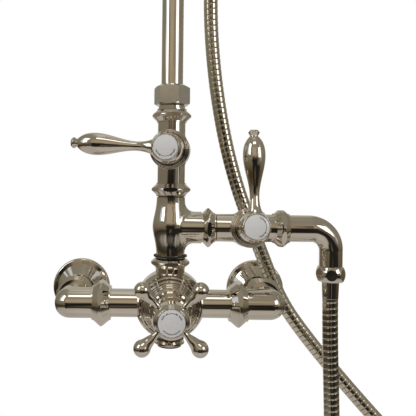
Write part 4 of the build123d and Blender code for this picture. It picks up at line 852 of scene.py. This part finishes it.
def studio_room():
    """Warm room for the reflections, darkest in front below the lens, and plain white for the view."""
    world = bpy.data.worlds.new("Studio")
    bpy.context.scene.world = world
    world.use_nodes = True
    tree = world.node_tree
    tree.nodes.clear()
    where = place(tree, "ShaderNodeTexCoord")
    axes = place(tree, "ShaderNodeSeparateXYZ", {"Vector": where.outputs["Generated"]})
    forward = times(tree, axes.outputs["Y"], -1.0)
    clutter = place(tree, "ShaderNodeTexNoise", {"Vector": where.outputs["Generated"],
                                                 "Scale": CLUTTER_SCALE, "Detail": 3.0})
    stray = place(tree, "ShaderNodeSeparateColor", {"Color": clutter.outputs["Color"]})
    around = place(tree, "ShaderNodeMath", {0: axes.outputs["X"], 1: forward}, operation="ARCTAN2")
    turn = strayed(tree, around.outputs[0], stray.outputs["Red"], CLUTTER_TURN)
    height = strayed(tree, axes.outputs["Z"], stray.outputs["Green"], CLUTTER_HEIGHT)
    level = place(tree, "ShaderNodeMapRange", {"Value": height, "From Min": -1.0}).outputs["Result"]
    room = mixed(tree, band(tree, turn, *FRONT_TURN), height_ramp(tree, level, WALL_TONES),
                 height_ramp(tree, level, FRONT_TONES))
    room = mixed(tree, band(tree, turn, *BACK_TURN), height_ramp(tree, level, BACK_TONES), room)
    for across, up, tone in ROOM_THINGS:
        share = times(tree, band(tree, turn, *across), band(tree, height, *up))
        room = mixed(tree, share, room, colour(tone))
    seen = place(tree, "ShaderNodeBackground", {"Color": (1, 1, 1, 1), "Strength": 1.0})
    mirrored = place(tree, "ShaderNodeBackground", {"Color": room, "Strength": 1.0})
    path = place(tree, "ShaderNodeLightPath")
    both = place(tree, "ShaderNodeMixShader", {0: path.outputs["Is Camera Ray"], 1: mirrored.outputs[0],
                                               2: seen.outputs[0]})
    place(tree, "ShaderNodeOutputWorld", {"Surface": both.outputs[0]})


class SHOWER_OT_stage(bpy.types.Operator):
    """Sets the pale floor, the studio lights and the camera"""

    bl_idname = "shower.stage"
    bl_label = "Set stage"

    def execute(self, context):
        scene = context.scene
        stage = scene.shower_stage
        bm = bmesh.new()
        bmesh.ops.create_circle(bm, cap_ends=True, segments=96, radius=stage.floor_radius,
                                matrix=Matrix.Translation((0, 0, stage.floor_height)))
        pale, shader = new_finish(
            "Pale floor", grain_group(),
            {"Colour": colour(stage.floor_colour), "Shade": colour((0.82, 0.815, 0.80)), "Smooth": 0.45,
             "Dull": 0.6, "Scale": 40.0}, 0.05 * MM)
        shader.inputs["Emission Color"].default_value = colour(stage.floor_colour)
        shader.inputs["Emission Strength"].default_value = stage.floor_glow
        floor = new_piece("floor", bm, pale)
        floor.visible_glossy = False
        studio_room()
        for lamp in LAMPS:
            box = softbox(*lamp)
            box.visible_glossy = lamp[0] != UNMIRRORED_LAMP
        lens = bpy.data.cameras.new("camera")
        lens.lens = stage.lens
        lens.sensor_width = 36.0
        lens.shift_x, lens.shift_y = stage.shift
        lens.clip_start = 0.01
        camera = bpy.data.objects.new("camera", lens)
        camera.location = stage.camera
        camera.rotation_euler = (Matrix.Rotation(math.radians(90), 3, "X")
                                 @ Matrix.Rotation(stage.roll, 3, "Z")).to_euler()
        scene.collection.objects.link(camera)
        scene.camera = camera
        scene.view_settings.view_transform = "Standard"
        return {"FINISHED"}


class SHOWER_PT_dressing(bpy.types.Panel):
    """Lists the settings and the steps"""

    bl_idname = "SHOWER_PT_dressing"
    bl_label = "Shower column"
    bl_space_type = "VIEW_3D"
    bl_region_type = "UI"
    bl_category = "Shower"

    def draw(self, context):
        for group in (context.scene.shower_finish, context.scene.shower_hose, context.scene.shower_marks,
                      context.scene.shower_stage):
            box = self.layout.box()
            for name in group.bl_rna.properties.keys():
                if name not in {"rna_type", "name"}:
                    box.prop(group, name)
        for step in STEPS:
            self.layout.operator(step.bl_idname)


GROUPS = (("shower_finish", FinishSettings), ("shower_hose", HoseSettings), ("shower_marks", MarkSettings),
          ("shower_stage", StageSettings))
STEPS = (SHOWER_OT_metalwork, SHOWER_OT_porcelain, SHOWER_OT_seals, SHOWER_OT_hose, SHOWER_OT_rims,
         SHOWER_OT_marks, SHOWER_OT_set_screws, SHOWER_OT_spray_hole_shade, SHOWER_OT_stage)


def register():
    for name, group in GROUPS:
        bpy.utils.register_class(group)
        setattr(bpy.types.Scene, name, PointerProperty(type=group))
    for step in STEPS:
        bpy.utils.register_class(step)
    bpy.utils.register_class(SHOWER_PT_dressing)


def unregister():
    bpy.utils.unregister_class(SHOWER_PT_dressing)
    for step in reversed(STEPS):
        bpy.utils.unregister_class(step)
    for name, group in reversed(GROUPS):
        delattr(bpy.types.Scene, name)
        bpy.utils.unregister_class(group)


def main():
    for spare in ("Cube", "Light", "Camera"):
        if spare in bpy.data.objects:
            bpy.data.objects.remove(bpy.data.objects[spare])
    register()
    bpy.ops.shower.metalwork()
    bpy.ops.shower.porcelain()
    bpy.ops.shower.seals()
    bpy.ops.shower.hose()
    bpy.ops.shower.rims()
    bpy.ops.shower.marks()
    bpy.ops.shower.set_screws()
    bpy.ops.shower.spray_holes()
    bpy.ops.shower.stage()


if __name__ == "__main__":
    main()
